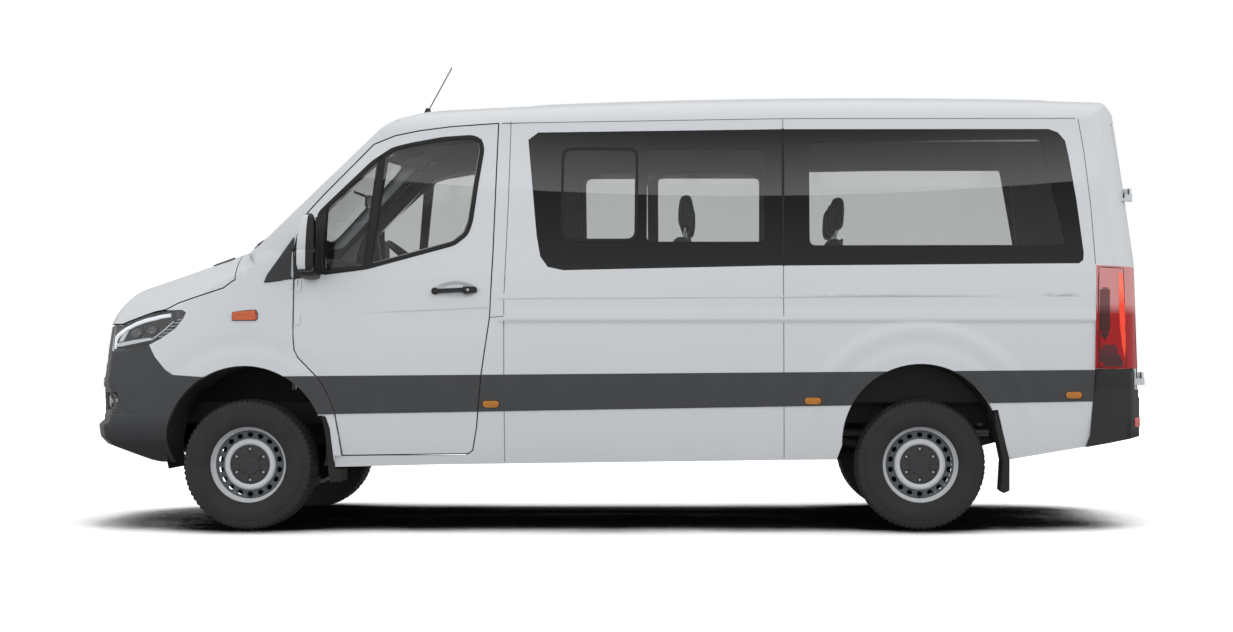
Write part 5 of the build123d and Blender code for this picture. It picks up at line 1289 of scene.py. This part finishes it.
for side_name, side in SIDES:
    patch("rear_reflector_" + side_name, at_back, soft_box(side * 0.800, 0.560, side * 0.905, 0.612, 0.012),
          0.010, 0.004, "body", "tail_light_red", rear_reflector, rim=0.003)
    patch("rear_sensor_" + side_name, across_skin(back_skin, side),
          ring_outline(2.790, 0.601, 0.009, 0.009, 12), 0.006, 0.002, "body", "black_trim", black_plastic,
          rim=0.002)
    wiper_path = [(side * 0.16, 1.475), (side * 0.30, 1.500), (side * 0.52, 1.512)]
    rides = "rear_door_" + side_name
    bead("rear_wiper_arm_" + side_name, at_back, wiper_path, 0.014, 0.022, rides, "black_trim",
         black_plastic, sunk=-0.008)
    bead("rear_wiper_blade_" + side_name, at_back, [(side * 0.24, 1.520), (side * 0.60, 1.530)], 0.010,
         0.012, rides, "black_trim", seal_rubber, sunk=0.0)
    patch("rear_wiper_pivot_" + side_name, at_back, ring_outline(side * 0.16, 1.475, 0.020, 0.020, 16),
          0.012, 0.018, rides, "black_trim", black_plastic, rim=0.004)
patch("rear_handle_base", at_back, soft_box(0.045, 1.255, 0.235, 1.345, 0.03),
      0.012, 0.006, "rear_door_right", "black_trim", black_plastic, rim=0.004)
bead("rear_handle_bar", at_back, [(0.070, 1.285), (0.215, 1.285)], 0.026, 0.030, "rear_door_right",
     "black_trim", black_plastic, sunk=-0.010)
patch("rear_handle_lock", at_back, ring_outline(0.190, 1.325, 0.009, 0.009, 14), 0.004, 0.008,
      "rear_door_right", "wheel_silver", polished_silver, rim=0.002)
patch("rear_plate", at_back, soft_box(-0.670, 0.985, -0.150, 1.095, 0.010),
      0.004, 0.004, "rear_door_left", "body_white", blank_plate, step=0.06, rim=0.001)
patch("rear_plate_lamp", at_back, soft_box(-0.50, 1.118, -0.32, 1.142, 0.008),
      0.006, 0.014, "rear_door_left", "black_trim", black_plastic, rim=0.004)
BRAKE_LIGHT = rounded([(-0.130, 2.262), (0.130, 2.262), (0.120, 2.286), (-0.120, 2.286)], 0.008)
patch("brake_light", at_back, BRAKE_LIGHT, 0.010, 0.004, "body", "tail_light_red", tail_lens, rim=0.003)
# height of each hinge, and where its slot starts and ends along x
for number, (z, start, end) in enumerate(((0.825, 2.868, 2.882), (1.840, 2.842, 2.852))):
    for side_name, side in SIDES:
        hinge_skin = across_skin(skin_of("rear_door_hinges"), side)
        patch("hinge_slot_%s_%d" % (side_name, number + 1), hinge_skin,
              soft_box(start, z - 0.020, end, z + 0.020, 0.003),
              0.002, 0.0008, "body", "black_trim", black_plastic, rim=0.0006)


def recoat(node, material):
    """Gives a carried-over CAD node its own finish."""
    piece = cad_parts[node]
    piece.data.materials.clear()
    piece.data.materials.append(material)


recoat("rear_door_hinges", white_paint)

# ---------------------------------------------------------------- wheels
# Tyres with four grooves, shoulder blocks and a ribbed sidewall, on pressed steel wheels with
# eighteen vent holes. A dark plastic cap with six bolts in pockets covers each hub.
TREAD = [(0.0920, 0.2065), (0.0985, 0.2120), (0.1075, 0.2300), (0.1135, 0.2480), (0.1170, 0.2680),
         (0.1165, 0.2860), (0.1135, 0.3030), (0.1105, 0.3060), (0.1110, 0.3120), (0.1070, 0.3270),
         (0.1010, 0.3430), (0.0890, 0.3510), (0.0690, 0.3552), (0.0600, 0.3558), (0.0585, 0.3480),
         (0.0515, 0.3480), (0.0500, 0.3560), (0.0225, 0.3560), (0.0210, 0.3480), (0.0140, 0.3480),
         (0.0125, 0.3560)]
TYRE_PROFILE = TREAD + [(-t, r) for t, r in TREAD[::-1]]        # offset outwards and radius
RIM_INSIDE = [(0.0880, 0.2190), (0.0895, 0.2175), (0.0870, 0.2120), (0.0800, 0.2055), (0.0700, 0.2025),
              (0.0620, 0.1965), (0.0560, 0.1950), (0.0520, 0.1900), (0.0460, 0.1868), (0.0300, 0.1855),
              (0.0, 0.1860), (-0.060, 0.1950), (-0.080, 0.2030), (-0.088, 0.2150)]
RIM_OUTSIDE = [(-0.0880, 0.2190), (-0.0800, 0.2075), (-0.0550, 0.2050), (0.0, 0.1920), (0.0550, 0.2050),
               (0.0800, 0.2085)]
BRAKE_DISC = [(0.010, 0.070), (0.010, 0.150), (-0.002, 0.152), (-0.004, 0.150), (-0.006, 0.152),
              (-0.018, 0.150), (-0.018, 0.070), (-0.030, 0.060), (-0.030, 0.030), (0.030, 0.030),
              (0.030, 0.062)]
BRAKE_SHIELD = [(-0.036, 0.050), (-0.036, 0.150), (-0.032, 0.170), (-0.026, 0.177), (-0.028, 0.179),
                (-0.036, 0.173), (-0.040, 0.150), (-0.040, 0.050)]
SPIN_PARTS = 216
HOLES, BOLTS = 18, 6


def wheel_point(hub, side, t, r, turn):
    """A point of a wheel: t outwards from its middle plane, at radius r and an angle."""
    return Vector((hub[0] + r * math.cos(turn), hub[1] + side * t, hub[2] + r * math.sin(turn)))


def spun(shape, profile, hub, side, closed, relief=None, count=SPIN_PARTS):
    """A profile (t, r) turned about a wheel's axis."""
    rows = []
    for k in range(count):
        turn = 2 * math.pi * k / count
        rows.append([shape.verts.new(wheel_point(hub, side, t, r + (relief(k, j) if relief else 0), turn))
                     for j, (t, r) in enumerate(profile)])
    for k, row in enumerate(rows):
        following = rows[(k + 1) % count]
        for j in range(len(profile) if closed else len(profile) - 1):
            i = (j + 1) % len(profile)
            shape.faces.new((row[j], row[i], following[i], following[j]))
    return rows


def turned(name, profile, hub, side, body, slot, material, angle, relief=None, count=SPIN_PARTS):
    """A closed ring turned from a profile, as a piece."""
    shape = bmesh.new()
    spun(shape, profile, hub, side, True, relief, count)
    bmesh.ops.recalc_face_normals(shape, faces=shape.faces)
    return as_piece(name, shape, body, slot, material, angle=angle)


def tread_relief(k, j):
    """Gaps between the shoulder blocks, and the fine ribs on the sidewall."""
    j = min(j, len(TYRE_PROFILE) - 1 - j)
    if j in (10, 11, 12, 13):
        return -0.0065 if k % 3 == 0 else 0.0
    if j in (15, 16, 17, 20):
        return -0.0035 if (k + (2 if j > 17 else 0)) % 4 == 0 else 0.0
    return 0.0


def cell(shape, hub, side, middle, half_turn, low, high, face_t, rings, count=24):
    """Part of a disc between two radii and angles. It is open inside its rings, each given by its half
    width, half height, t and radius."""
    centre_r = (low + high) / 2
    half_w, half_h = centre_r * half_turn, (high - low) / 2
    turns = [(math.cos(2 * math.pi * k / count), math.sin(2 * math.pi * k / count)) for k in range(count)]
    rows = [[]]
    for c, s in turns:
        reach = 1 / max(abs(c) / half_w, abs(s) / half_h)
        point = wheel_point(hub, side, face_t, centre_r + s * reach, middle + c * reach / centre_r)
        rows[0].append(shape.verts.new(point))
    for across, up, t, radius in rings:
        rows.append([shape.verts.new(wheel_point(hub, side, t, radius + up * s,
                                                 middle + across * c / radius))
                     for c, s in turns])
    for row, following in zip(rows, rows[1:]):
        for k in range(count):
            j = (k + 1) % count
            shape.faces.new((row[k], row[j], following[j], following[k]))
    return rows[-1]


def closed_disc(shape, side, thick):
    """Joins the parts of a disc and gives it a thickness."""
    bmesh.ops.remove_doubles(shape, verts=shape.verts, dist=1e-5)
    bmesh.ops.recalc_face_normals(shape, faces=shape.faces)
    if sum(f.normal.y * side * f.calc_area() for f in shape.faces) < 0:
        bmesh.ops.reverse_faces(shape, faces=shape.faces)
    thickened(shape, {v: Vector((0, side, 0)) for v in shape.verts}, thick)


tyre_tread = moulded("tyre_tread", (0.015, 0.015, 0.015), (0.032, 0.031, 0.030), 0.66, cells=500.0,
                     depth=0.0004)
rim_silver = moulded("rim_silver", (0.56, 0.575, 0.59), (0.66, 0.675, 0.69), 0.30, cells=500.0,
                     depth=0.00003, spread=0.10, Metallic=0.15)
brake_iron = moulded("brake_iron", (0.020, 0.019, 0.018), (0.035, 0.031, 0.028), 0.5, cells=300.0,
                     depth=0.0003, Metallic=0.4)
disc_grey = moulded("disc_grey", (0.085, 0.096, 0.105), (0.11, 0.122, 0.132), 0.38, cells=400.0,
                    depth=0.0001, Metallic=0.2)
hub_cap = moulded("hub_cap", (0.030, 0.032, 0.034), (0.045, 0.047, 0.049), 0.34, cells=700.0)
HUB_OUT, HUB_UP = 0.855, 0.356
WHEELS = [(end + "_" + name, side, (x, side * HUB_OUT, HUB_UP))
          for end, x in (("front", -1.950), ("rear", 1.715)) for name, side in SIDES]
for name, side, hub in WHEELS:
    body = "wheel_" + name
    tyre = turned("tyre_" + name + "_cover", TYRE_PROFILE, hub, side, body, "tyre_rubber", tyre_tread, 28,
                  tread_relief)
    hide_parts("tyre_" + name)
    barrel = turned("rim_barrel_" + name, RIM_INSIDE + RIM_OUTSIDE, hub, side, body, "wheel_silver",
                    rim_silver, 35, count=120)
    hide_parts("rim_" + name)
    shape = bmesh.new()
    spun(shape, [(0.0440, 0.1880), (0.0400, 0.1840), (0.0375, 0.1800), (0.0380, 0.1775)], hub, side, False)
    for k in range(HOLES):
        cell(shape, hub, side, 2 * math.pi * (k + 0.5) / HOLES, math.pi / HOLES, 0.1465, 0.1775, 0.0380,
             [(0.0175, 0.0145, 0.0378, 0.162), (0.0150, 0.0125, 0.0345, 0.162)])
    spun(shape, [(0.0380, 0.1465), (0.0390, 0.1440), (0.0400, 0.1400)], hub, side, False)
    closed_disc(shape, side, 0.005)
    as_piece("rim_disc_" + name, shape, body, "wheel_silver", disc_grey, angle=35)
    shape = bmesh.new()
    spun(shape, [(0.0385, 0.1410), (0.0430, 0.1385), (0.0495, 0.1320), (0.0515, 0.1240), (0.0495, 0.1160),
                 (0.0440, 0.1085), (0.0380, 0.1060)], hub, side, False)
    closed_disc(shape, side, 0.005)
    as_piece("rim_ring_" + name, shape, body, "wheel_silver", rim_silver, angle=35)
    shape = bmesh.new()
    spun(shape, [(0.0400, 0.1090), (0.0455, 0.1070), (0.0470, 0.1010)], hub, side, False)
    for k in range(BOLTS):
        ends = cell(shape, hub, side, math.pi * (k + 0.5) / 3, math.pi / BOLTS, 0.0560, 0.1010, 0.0470,
                    [(0.0130, 0.0180, 0.0470, 0.0790), (0.0110, 0.0160, 0.0400, 0.0790)])
        shape.faces.new(ends)
    spun(shape, [(0.0470, 0.0560), (0.0480, 0.0530), (0.0515, 0.0510), (0.0520, 0.0450), (0.0505, 0.0415),
                 (0.0510, 0.0380), (0.0530, 0.0100), (0.0532, 0.0010)], hub, side, False)
    closed_disc(shape, side, 0.003)
    as_piece("wheel_cap_" + name, shape, body, "black_trim", hub_cap, angle=35)
    for k in range(BOLTS):
        middle = wheel_point(hub, side, 0, 0.085, math.pi * (k + 0.5) / 3)
        lofted("wheel_bolt_%s_%d" % (name, k + 1),
               [squared(middle + Vector((0, side * t, 0)), (size, 0, 0), (0, 0, size), 2.0, 6)
                for t, size in ((0.036, 0.0085), (0.0450, 0.0085), (0.0468, 0.0062))], body, "bare_steel",
               polished_silver, angle=20)
    turned("brake_disc_" + name, BRAKE_DISC, hub, side, body, "underbody_iron", brake_iron, 30, count=96)
    carrier = "steering_" + name[6:] if name.startswith("front") else "body"
    turned("brake_shield_" + name, BRAKE_SHIELD, hub, side, carrier, "underbody_iron", brake_iron, 30,
           count=72)
    foot = wheel_point(hub, side, 0.034, 0.178, -math.pi / 2)
    tip = wheel_point(hub, side, 0.062, 0.172, -math.pi / 2)
    lofted("tyre_valve_" + name, [squared(foot.lerp(tip, part), (size, 0, 0), (0, 0, size), 2.0, 10)
                                  for part, size in ((0, 0.0065), (0.5, 0.0055), (0.55, 0.0045),
                                                     (1, 0.0045))],
           body, "black_trim", black_plastic)

# ---------------------------------------------------------------- underbody and running gear
# Waxed black pressings and castings, a bare steel exhaust, plastic tank and wheel arch liners,
# and rubber mud flaps. Each front arch has a moulded liner between the bumper and the sill.
cast_iron = moulded("cast_iron", (0.016, 0.016, 0.017), (0.040, 0.036, 0.032), 0.55, cells=260.0,
                    depth=0.0006, Metallic=0.3)
waxed_black = finish("waxed_black", paint_flow,
                     {"Paint": (0.012, 0.012, 0.012, 1), "Dust": (0.06, 0.05, 0.04, 1), "Dust Height": 0.75,
                      "Peel": 0.0002, "Roughness": 0.45})
exhaust_steel = moulded("exhaust_steel", (0.22, 0.21, 0.20), (0.32, 0.28, 0.24), 0.40, cells=120.0,
                        depth=0.0002, Metallic=0.8)
tank_plastic = moulded("tank_plastic", (0.012, 0.012, 0.012), (0.022, 0.022, 0.022), 0.50, cells=340.0)
flap_rubber = moulded("flap_rubber", (0.010, 0.010, 0.010), (0.020, 0.019, 0.018), 0.60, cells=420.0,
                      depth=0.0003)
for node, material in (("chassis_frame", waxed_black), ("engine_block", cast_iron),
                       ("propeller_shaft", cast_iron), ("fuel_tank", tank_plastic),
                       ("exhaust", exhaust_steel), ("mud_flaps", flap_rubber),
                       ("arch_liners", tank_plastic), ("floor_pan", waxed_black), ("rear_axle", cast_iron),
                       ("leaf_springs", waxed_black), ("front_suspension", cast_iron),
                       ("knuckle_left", cast_iron), ("knuckle_right", cast_iron),
                       ("antenna", black_plastic)):
    recoat(node, material)
LINER_PARTS = 42
for side_name, side in SIDES:
    for end, (x, z, radius), turns, inner in (("front", FRONT_ARCH, (-14, 196), 0.600),
                                              ("rear", REAR_ARCH, (0, 180), 0.640)):
        shape = bmesh.new()
        rows = []
        for k in range(LINER_PARTS + 1):
            turn = math.radians(turns[0] + (turns[1] - turns[0]) * k / LINER_PARTS)
            swell = 0.0015 * math.sin(k * math.pi / 3)
            across, up = math.cos(turn), math.sin(turn)
            section = [(y, radius + offset + swell)
                       for y, offset in ((inner, -0.004), (0.80, -0.003), (0.90, -0.002), (0.935, 0.001))]
            rows.append([shape.verts.new((x + r * across, side * y, z + r * up)) for y, r in section])
        for row, following in zip(rows, rows[1:]):
            for j in range(3):
                shape.faces.new((row[j], row[j + 1], following[j + 1], following[j]))
        bmesh.ops.recalc_face_normals(shape, faces=shape.faces)
        ways = {v: Vector((x - v.co.x, 0, z - v.co.z)).normalized() for v in shape.verts}
        thickened(shape, ways, -0.004)
        as_piece("arch_lining_%s_%s" % (end, side_name), shape, "body", "black_trim", tank_plastic,
                 angle=40)

# ---------------------------------------------------------------- seats
# Single and double seats in front and two rows of three behind, on moulded plinths. Each place
# has a padded cushion, back and headrest in dark woven cloth over foam, with sewn bolster lines.
woven_cloth, given, out = effect_group(
    "woven_cloth", [("Warp", (0.03, 0.03, 0.03, 1)), ("Weft", (0.06, 0.06, 0.06, 1)), ("Threads", 900.0),
                    ("Relief", 0.0006)],
    [("Colour", "Color"), ("Roughness", "Float"), ("Normal", "Vector")])
place = add_node(woven_cloth, "TexCoord").outputs["Object"]
warp = add_node(woven_cloth, "TexWave", {"Vector": place, "Scale": given["Threads"], "Distortion": 0.6},
                bands_direction="Y")
weft = add_node(woven_cloth, "TexWave", {"Vector": place, "Scale": given["Threads"], "Distortion": 0.6},
                bands_direction="Z")
crossing = add_node(woven_cloth, "Math", {0: warp.outputs["Fac"], 1: weft.outputs["Fac"]},
                    operation="MULTIPLY")
patchy = add_node(woven_cloth, "TexNoise", {"Vector": place, "Scale": 16.0, "Detail": 4.0})
share = add_node(woven_cloth, "Math", {0: crossing.outputs[0], 1: patchy.outputs[0]}, operation="ADD",
                 use_clamp=True)
tone = add_node(woven_cloth, "MixRGB", {"Fac": share.outputs[0], "Color1": given["Warp"],
                                        "Color2": given["Weft"]})
rough = add_node(woven_cloth, "MapRange", {"Value": patchy.outputs[0], "To Min": 0.80, "To Max": 0.95})
bump = add_node(woven_cloth, "Bump", {"Height": crossing.outputs[0], "Distance": given["Relief"],
                                      "Strength": 0.6})
for key, source in (("Colour", tone.outputs[0]), ("Roughness", rough.outputs[0]),
                    ("Normal", bump.outputs[0])):
    woven_cloth.links.new(source, out[key])
seat_cloth = finish("seat_cloth", woven_cloth,
                    {"Warp": (0.016, 0.017, 0.019, 1), "Weft": (0.034, 0.036, 0.040, 1)}, Sheen_Weight=0.3)
plinth_plastic = moulded("plinth_plastic", (0.022, 0.023, 0.024), (0.032, 0.033, 0.035), 0.50)
SWELL_CAP = 0.010       # the furthest that the air moves a point of the foam
FOAM_VOXEL = 0.017
AIR_PRESSURE, AIR_FRAMES = 4.0, 20


def stuffed(name, rings):
    """The mesh of a foam pad: a loft that is remeshed, blown up slightly as cloth, and smoothed."""
    shape = loft(rings)
    mesh = bpy.data.meshes.new(name + "_block")
    shape.to_mesh(mesh)
    shape.free()
    block = bpy.data.objects.new(name + "_block", mesh)
    bpy.context.collection.objects.link(block)
    grid = block.modifiers.new("grid", "REMESH")
    grid.mode, grid.voxel_size = "VOXEL", FOAM_VOXEL
    scene = bpy.context.scene
    start = bpy.data.meshes.new_from_object(block.evaluated_get(bpy.context.evaluated_depsgraph_get()))
    block.modifiers.clear()
    block.data = start
    air = block.modifiers.new("air", "CLOTH")
    air.settings.use_pressure = True
    air.settings.uniform_pressure_force = AIR_PRESSURE
    air.settings.effector_weights.gravity = 0.0
    for number in range(1, AIR_FRAMES + 1):
        scene.frame_set(number)
    blown = block.evaluated_get(bpy.context.evaluated_depsgraph_get()).to_mesh()
    moved = [v.co.copy() for v in blown.vertices]
    block.modifiers.clear()
    for vert, goal in zip(start.vertices, moved):
        step = goal - vert.co
        if step.length > SWELL_CAP:
            step *= SWELL_CAP / step.length
        vert.co += step
    scene.frame_set(1)
    smooth = block.modifiers.new("smooth", "SUBSURF")
    smooth.levels = 1
    made = bpy.data.meshes.new_from_object(block.evaluated_get(bpy.context.evaluated_depsgraph_get()))
    bpy.data.objects.remove(block)
    for face in made.polygons:
        face.use_smooth = True
    return made


def sewn(mesh, facing, lines, depth=0.007, width=0.009):
    """Draws the face that looks along a direction in along seams: lines(point) gives the distance of a
    point from each of them."""
    for vert in mesh.vertices:
        pull = max(math.exp(-(distance / width) ** 2) for distance in lines(vert.co))
        if vert.normal.dot(facing) > 0.35:
            vert.co -= facing * depth * pull


def seat_rings(kind):
    """Rings of a pad round its own place at (0, 0): cushion, back or headrest."""
    if kind == "cushion":
        levels = [(1.072, 0.86), (1.078, 0.93), (1.095, 0.97), (1.130, 0.985), (1.155, 0.975),
                  (1.166, 0.94), (1.171, 0.86)]
        return [squared((0.245, 0, z), (0.232 * size, 0, 0), (0, 0.208 * size, 0), 4.5, 36)
                for z, size in levels]
    if kind == "back":
        levels = [(1.150, 0.80), (1.165, 0.93), (1.220, 1.0), (1.380, 1.0), (1.520, 0.97), (1.600, 0.90),
                  (1.622, 0.78)]
        return [squared((0.435 + (z - 1.16) * 0.138, 0, z), (0.044 * min(1, size + 0.02), 0, 0),
                        (0, 0.205 * size, 0), 4.0, 36)
                for z, size in levels]
    levels = [(1.668, 0.72), (1.678, 0.90), (1.710, 1.0), (1.780, 1.0), (1.830, 0.93), (1.852, 0.72)]
    return [squared((0.512 + (z - 1.66) * 0.05, 0, z), (0.037 * size, 0, 0), (0, 0.122 * size, 0), 3.2, 28)
            for z, size in levels]


PADS = {kind: stuffed(kind, seat_rings(kind)) for kind in ("cushion", "back", "headrest")}
sewn(PADS["cushion"], Vector((0, 0, 1)), lambda p: [abs(p.y) - 0.130, p.x - 0.30])
sewn(PADS["back"], Vector((-1, 0, 0)), lambda p: [abs(p.y) - 0.125 + (p.z - 1.2) * 0.03, p.z - 1.47])
sewn(PADS["headrest"], Vector((-1, 0, 0)), lambda p: [abs(p.y) - 0.085])
# name and x of each row, y of its places, width of a place, and the CAD node that its pads replace
ROWS = [("driver", -1.040, [-0.540], 0.520, "front_seats"),
        ("passenger", -1.040, [0.140, 0.580], 0.440, None),
        ("second_row", -0.090, [-0.583, -0.150, 0.283], 0.433, "rear_seats"),
        ("third_row", 0.770, [-0.42, 0.0, 0.42], 0.42, None)]
for row, x, places, width, node in ROWS:
    for number, y in enumerate(places):
        label = "%s_%d" % (row, number + 1)
        for kind in ("cushion", "back", "headrest"):
            mesh = PADS[kind].copy()
            spread = 1.0 if kind == "headrest" else min((width - 0.012) / 0.420, 1.16)
            for vert in mesh.vertices:
                vert.co = Vector((vert.co.x + x, vert.co.y * spread + y, vert.co.z))
            pad = as_piece("seat_%s_%s" % (kind, label), mesh, "body", "seat_fabric", seat_cloth)
        for post in (-0.055, 0.055):
            lofted("headrest_post_%s_%s" % (label, "a" if post < 0 else "b"),
                   [squared((x + 0.505 + k * 0.006, y + post, 1.600 + 0.04 * k), (0.006, 0, 0),
                            (0, 0.006, 0), 2.0, 12)
                    for k in range(3)], "body", "bare_steel", polished_silver)
        lofted("seat_shell_" + label,
               [squared((x + 0.489 + (z - 1.16) * 0.115, y, z), (0.007, 0, 0),
                        (0, (width / 2 - 0.02) * size, 0), 5.0, 28)
                for z, size in ((1.120, 0.80), (1.140, 0.92), (1.200, 0.96), (1.500, 0.95), (1.590, 0.86),
                                (1.612, 0.74))],
               "body", "inner_plastic", plinth_plastic)
        lofted("seat_buckle_" + label,
               [squared((x + 0.40, y + width / 2 - 0.030, z), (0.012 * size, 0, 0), (0, 0.007 * size, 0),
                        4.0, 16)
                for z, size in ((1.10, 0.5), (1.15, 0.6), (1.175, 1.0), (1.215, 1.0), (1.222, 0.7))],
               "body", "black_trim", black_plastic)
    if node:
        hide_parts(node)
    low, high = places[0] - width / 2, places[-1] + width / 2
    middle, half = (low + high) / 2, (high - low) / 2
    lofted("seat_plinth_" + row,
           [squared((x + 0.25, middle, z), (0.190 * size, 0, 0), (0, (half - 0.02) * (0.9 + 0.1 * size), 0),
                    7.0, 36)
            for z, size in ((0.735, 1.0), (0.760, 0.97), (0.900, 0.86), (1.000, 0.93), (1.050, 1.10),
                            (1.066, 1.12))],
           "body", "inner_plastic", plinth_plastic)

# ---------------------------------------------------------------- dashboard, wheel and cab fittings
# A moulded dashboard with a hood over the instruments, a screen, vents and a glovebox lid. The
# steering wheel is foam over steel, and a mirror hangs from the top of the windscreen.
DASH = rounded([(-1.690, 1.105), (-1.690, 1.455), (-1.560, 1.474), (-1.405, 1.440), (-1.335, 1.335),
                (-1.362, 1.185), (-1.480, 1.085)], 0.050, 5)
DASH_HALF, DASH_MIDDLE, DASH_RINGS = 0.775, 1.28, 40        # half width, height of its middle, sections


def dash_point(x, y, z):
    """A point of the section at y, with the hood over the instruments and the swell of the centre."""
    hood = 0.030 * math.exp(-((y + 0.45) / 0.20) ** 4)
    centre = 0.020 * math.exp(-(y / 0.16) ** 4)
    ends = 1 - 0.06 * max(0, abs(y) - 0.68) / 0.1
    back = x + (centre if x > -1.45 else 0)
    top = hood if z > 1.40 and x > -1.60 else 0
    return Vector((back, y, DASH_MIDDLE + (z - DASH_MIDDLE) * ends + top))


rings = [[dash_point(x, -DASH_HALF + 2 * DASH_HALF * k / (DASH_RINGS - 1), z) for x, z in DASH]
         for k in range(DASH_RINGS)]
dash = lofted("dashboard_moulding", rings, "body", "inner_plastic", cabin_lining, angle=50)
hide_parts("dashboard")
dash_skin = skin_of(dash)


def on_dash(u, v):
    """(y, z) on the dashboard's rear face, seen from the seats."""
    return met(dash_skin, Vector((-0.9, u, v)), Vector((-1, 0, 0)))


screen_glass = moulded("screen_glass", (0.004, 0.004, 0.005), (0.006, 0.006, 0.007), 0.06, cells=30.0,
                       depth=0.0, Coat_Weight=0.5)
patch("instrument_panel", on_dash,
      rounded([(-0.620, 1.360), (-0.280, 1.360), (-0.290, 1.455), (-0.610, 1.455)], 0.03), 0.010, 0.004,
      "body", "inner_plastic", screen_glass, step=0.04, rim=0.004)
patch("centre_screen", on_dash, soft_box(-0.120, 1.350, 0.120, 1.440, 0.012),
      0.012, 0.010, "body", "inner_plastic", screen_glass, step=0.04, rim=0.004)
patch("glovebox_lid", on_dash, soft_box(0.300, 1.150, 0.700, 1.290, 0.025),
      0.010, 0.005, "body", "inner_plastic", plinth_plastic, step=0.04, rim=0.005)
for number, y in enumerate((-0.700, -0.180, 0.180, 0.700)):
    patch("air_vent_%d" % (number + 1), on_dash, soft_box(y - 0.045, 1.362, y + 0.045, 1.410, 0.012),
          0.010, 0.005, "body", "inner_plastic", black_plastic, rim=0.005)
    for slat in range(3):
        bead("vent_slat_%d_%d" % (number + 1, slat + 1), on_dash,
             [(y - 0.036, 1.374 + 0.012 * slat), (y + 0.036, 1.374 + 0.012 * slat)], 0.004, 0.009, "body",
             "inner_plastic", plinth_plastic)
recoat("steering_wheel", seal_rubber)
lofted("cab_mirror", [squared((-1.462 + 0.0015 * abs(k - 4), 0.030 * (k - 4), 1.866),
                              (0.014 * size, 0, 0.003 * size), (0.004 * size, 0, 0.038 * size), 3.0, 24)
                      for k, size in enumerate((0.55, 0.85, 0.96, 1.0, 1.0, 1.0, 0.96, 0.85, 0.55))],
       "body", "inner_plastic", black_plastic)
lofted("cab_mirror_stalk", [squared(Vector((-1.470, 0, 1.895)).lerp(Vector((-1.548, 0, 1.925)), part),
                                    (0, 0.010, 0), (0, 0, 0.008), 2.5, 16) for part in (0, 0.3, 0.7, 1.0)],
       "body", "inner_plastic", black_plastic)
for name, y in (("driver", -0.42), ("passenger", 0.42)):
    rings = [squared((-1.235 + 0.010 * k, y, 2.150 + 0.012 * k), (0.0, 0.19 * size, 0),
                     (0.075 * size, 0, 0.028 * size), 6.0, 28) for k, size in enumerate((0.96, 1.0, 0.96))]
    lofted("sun_visor_" + name, rings, "body", "inner_plastic", cabin_lining)
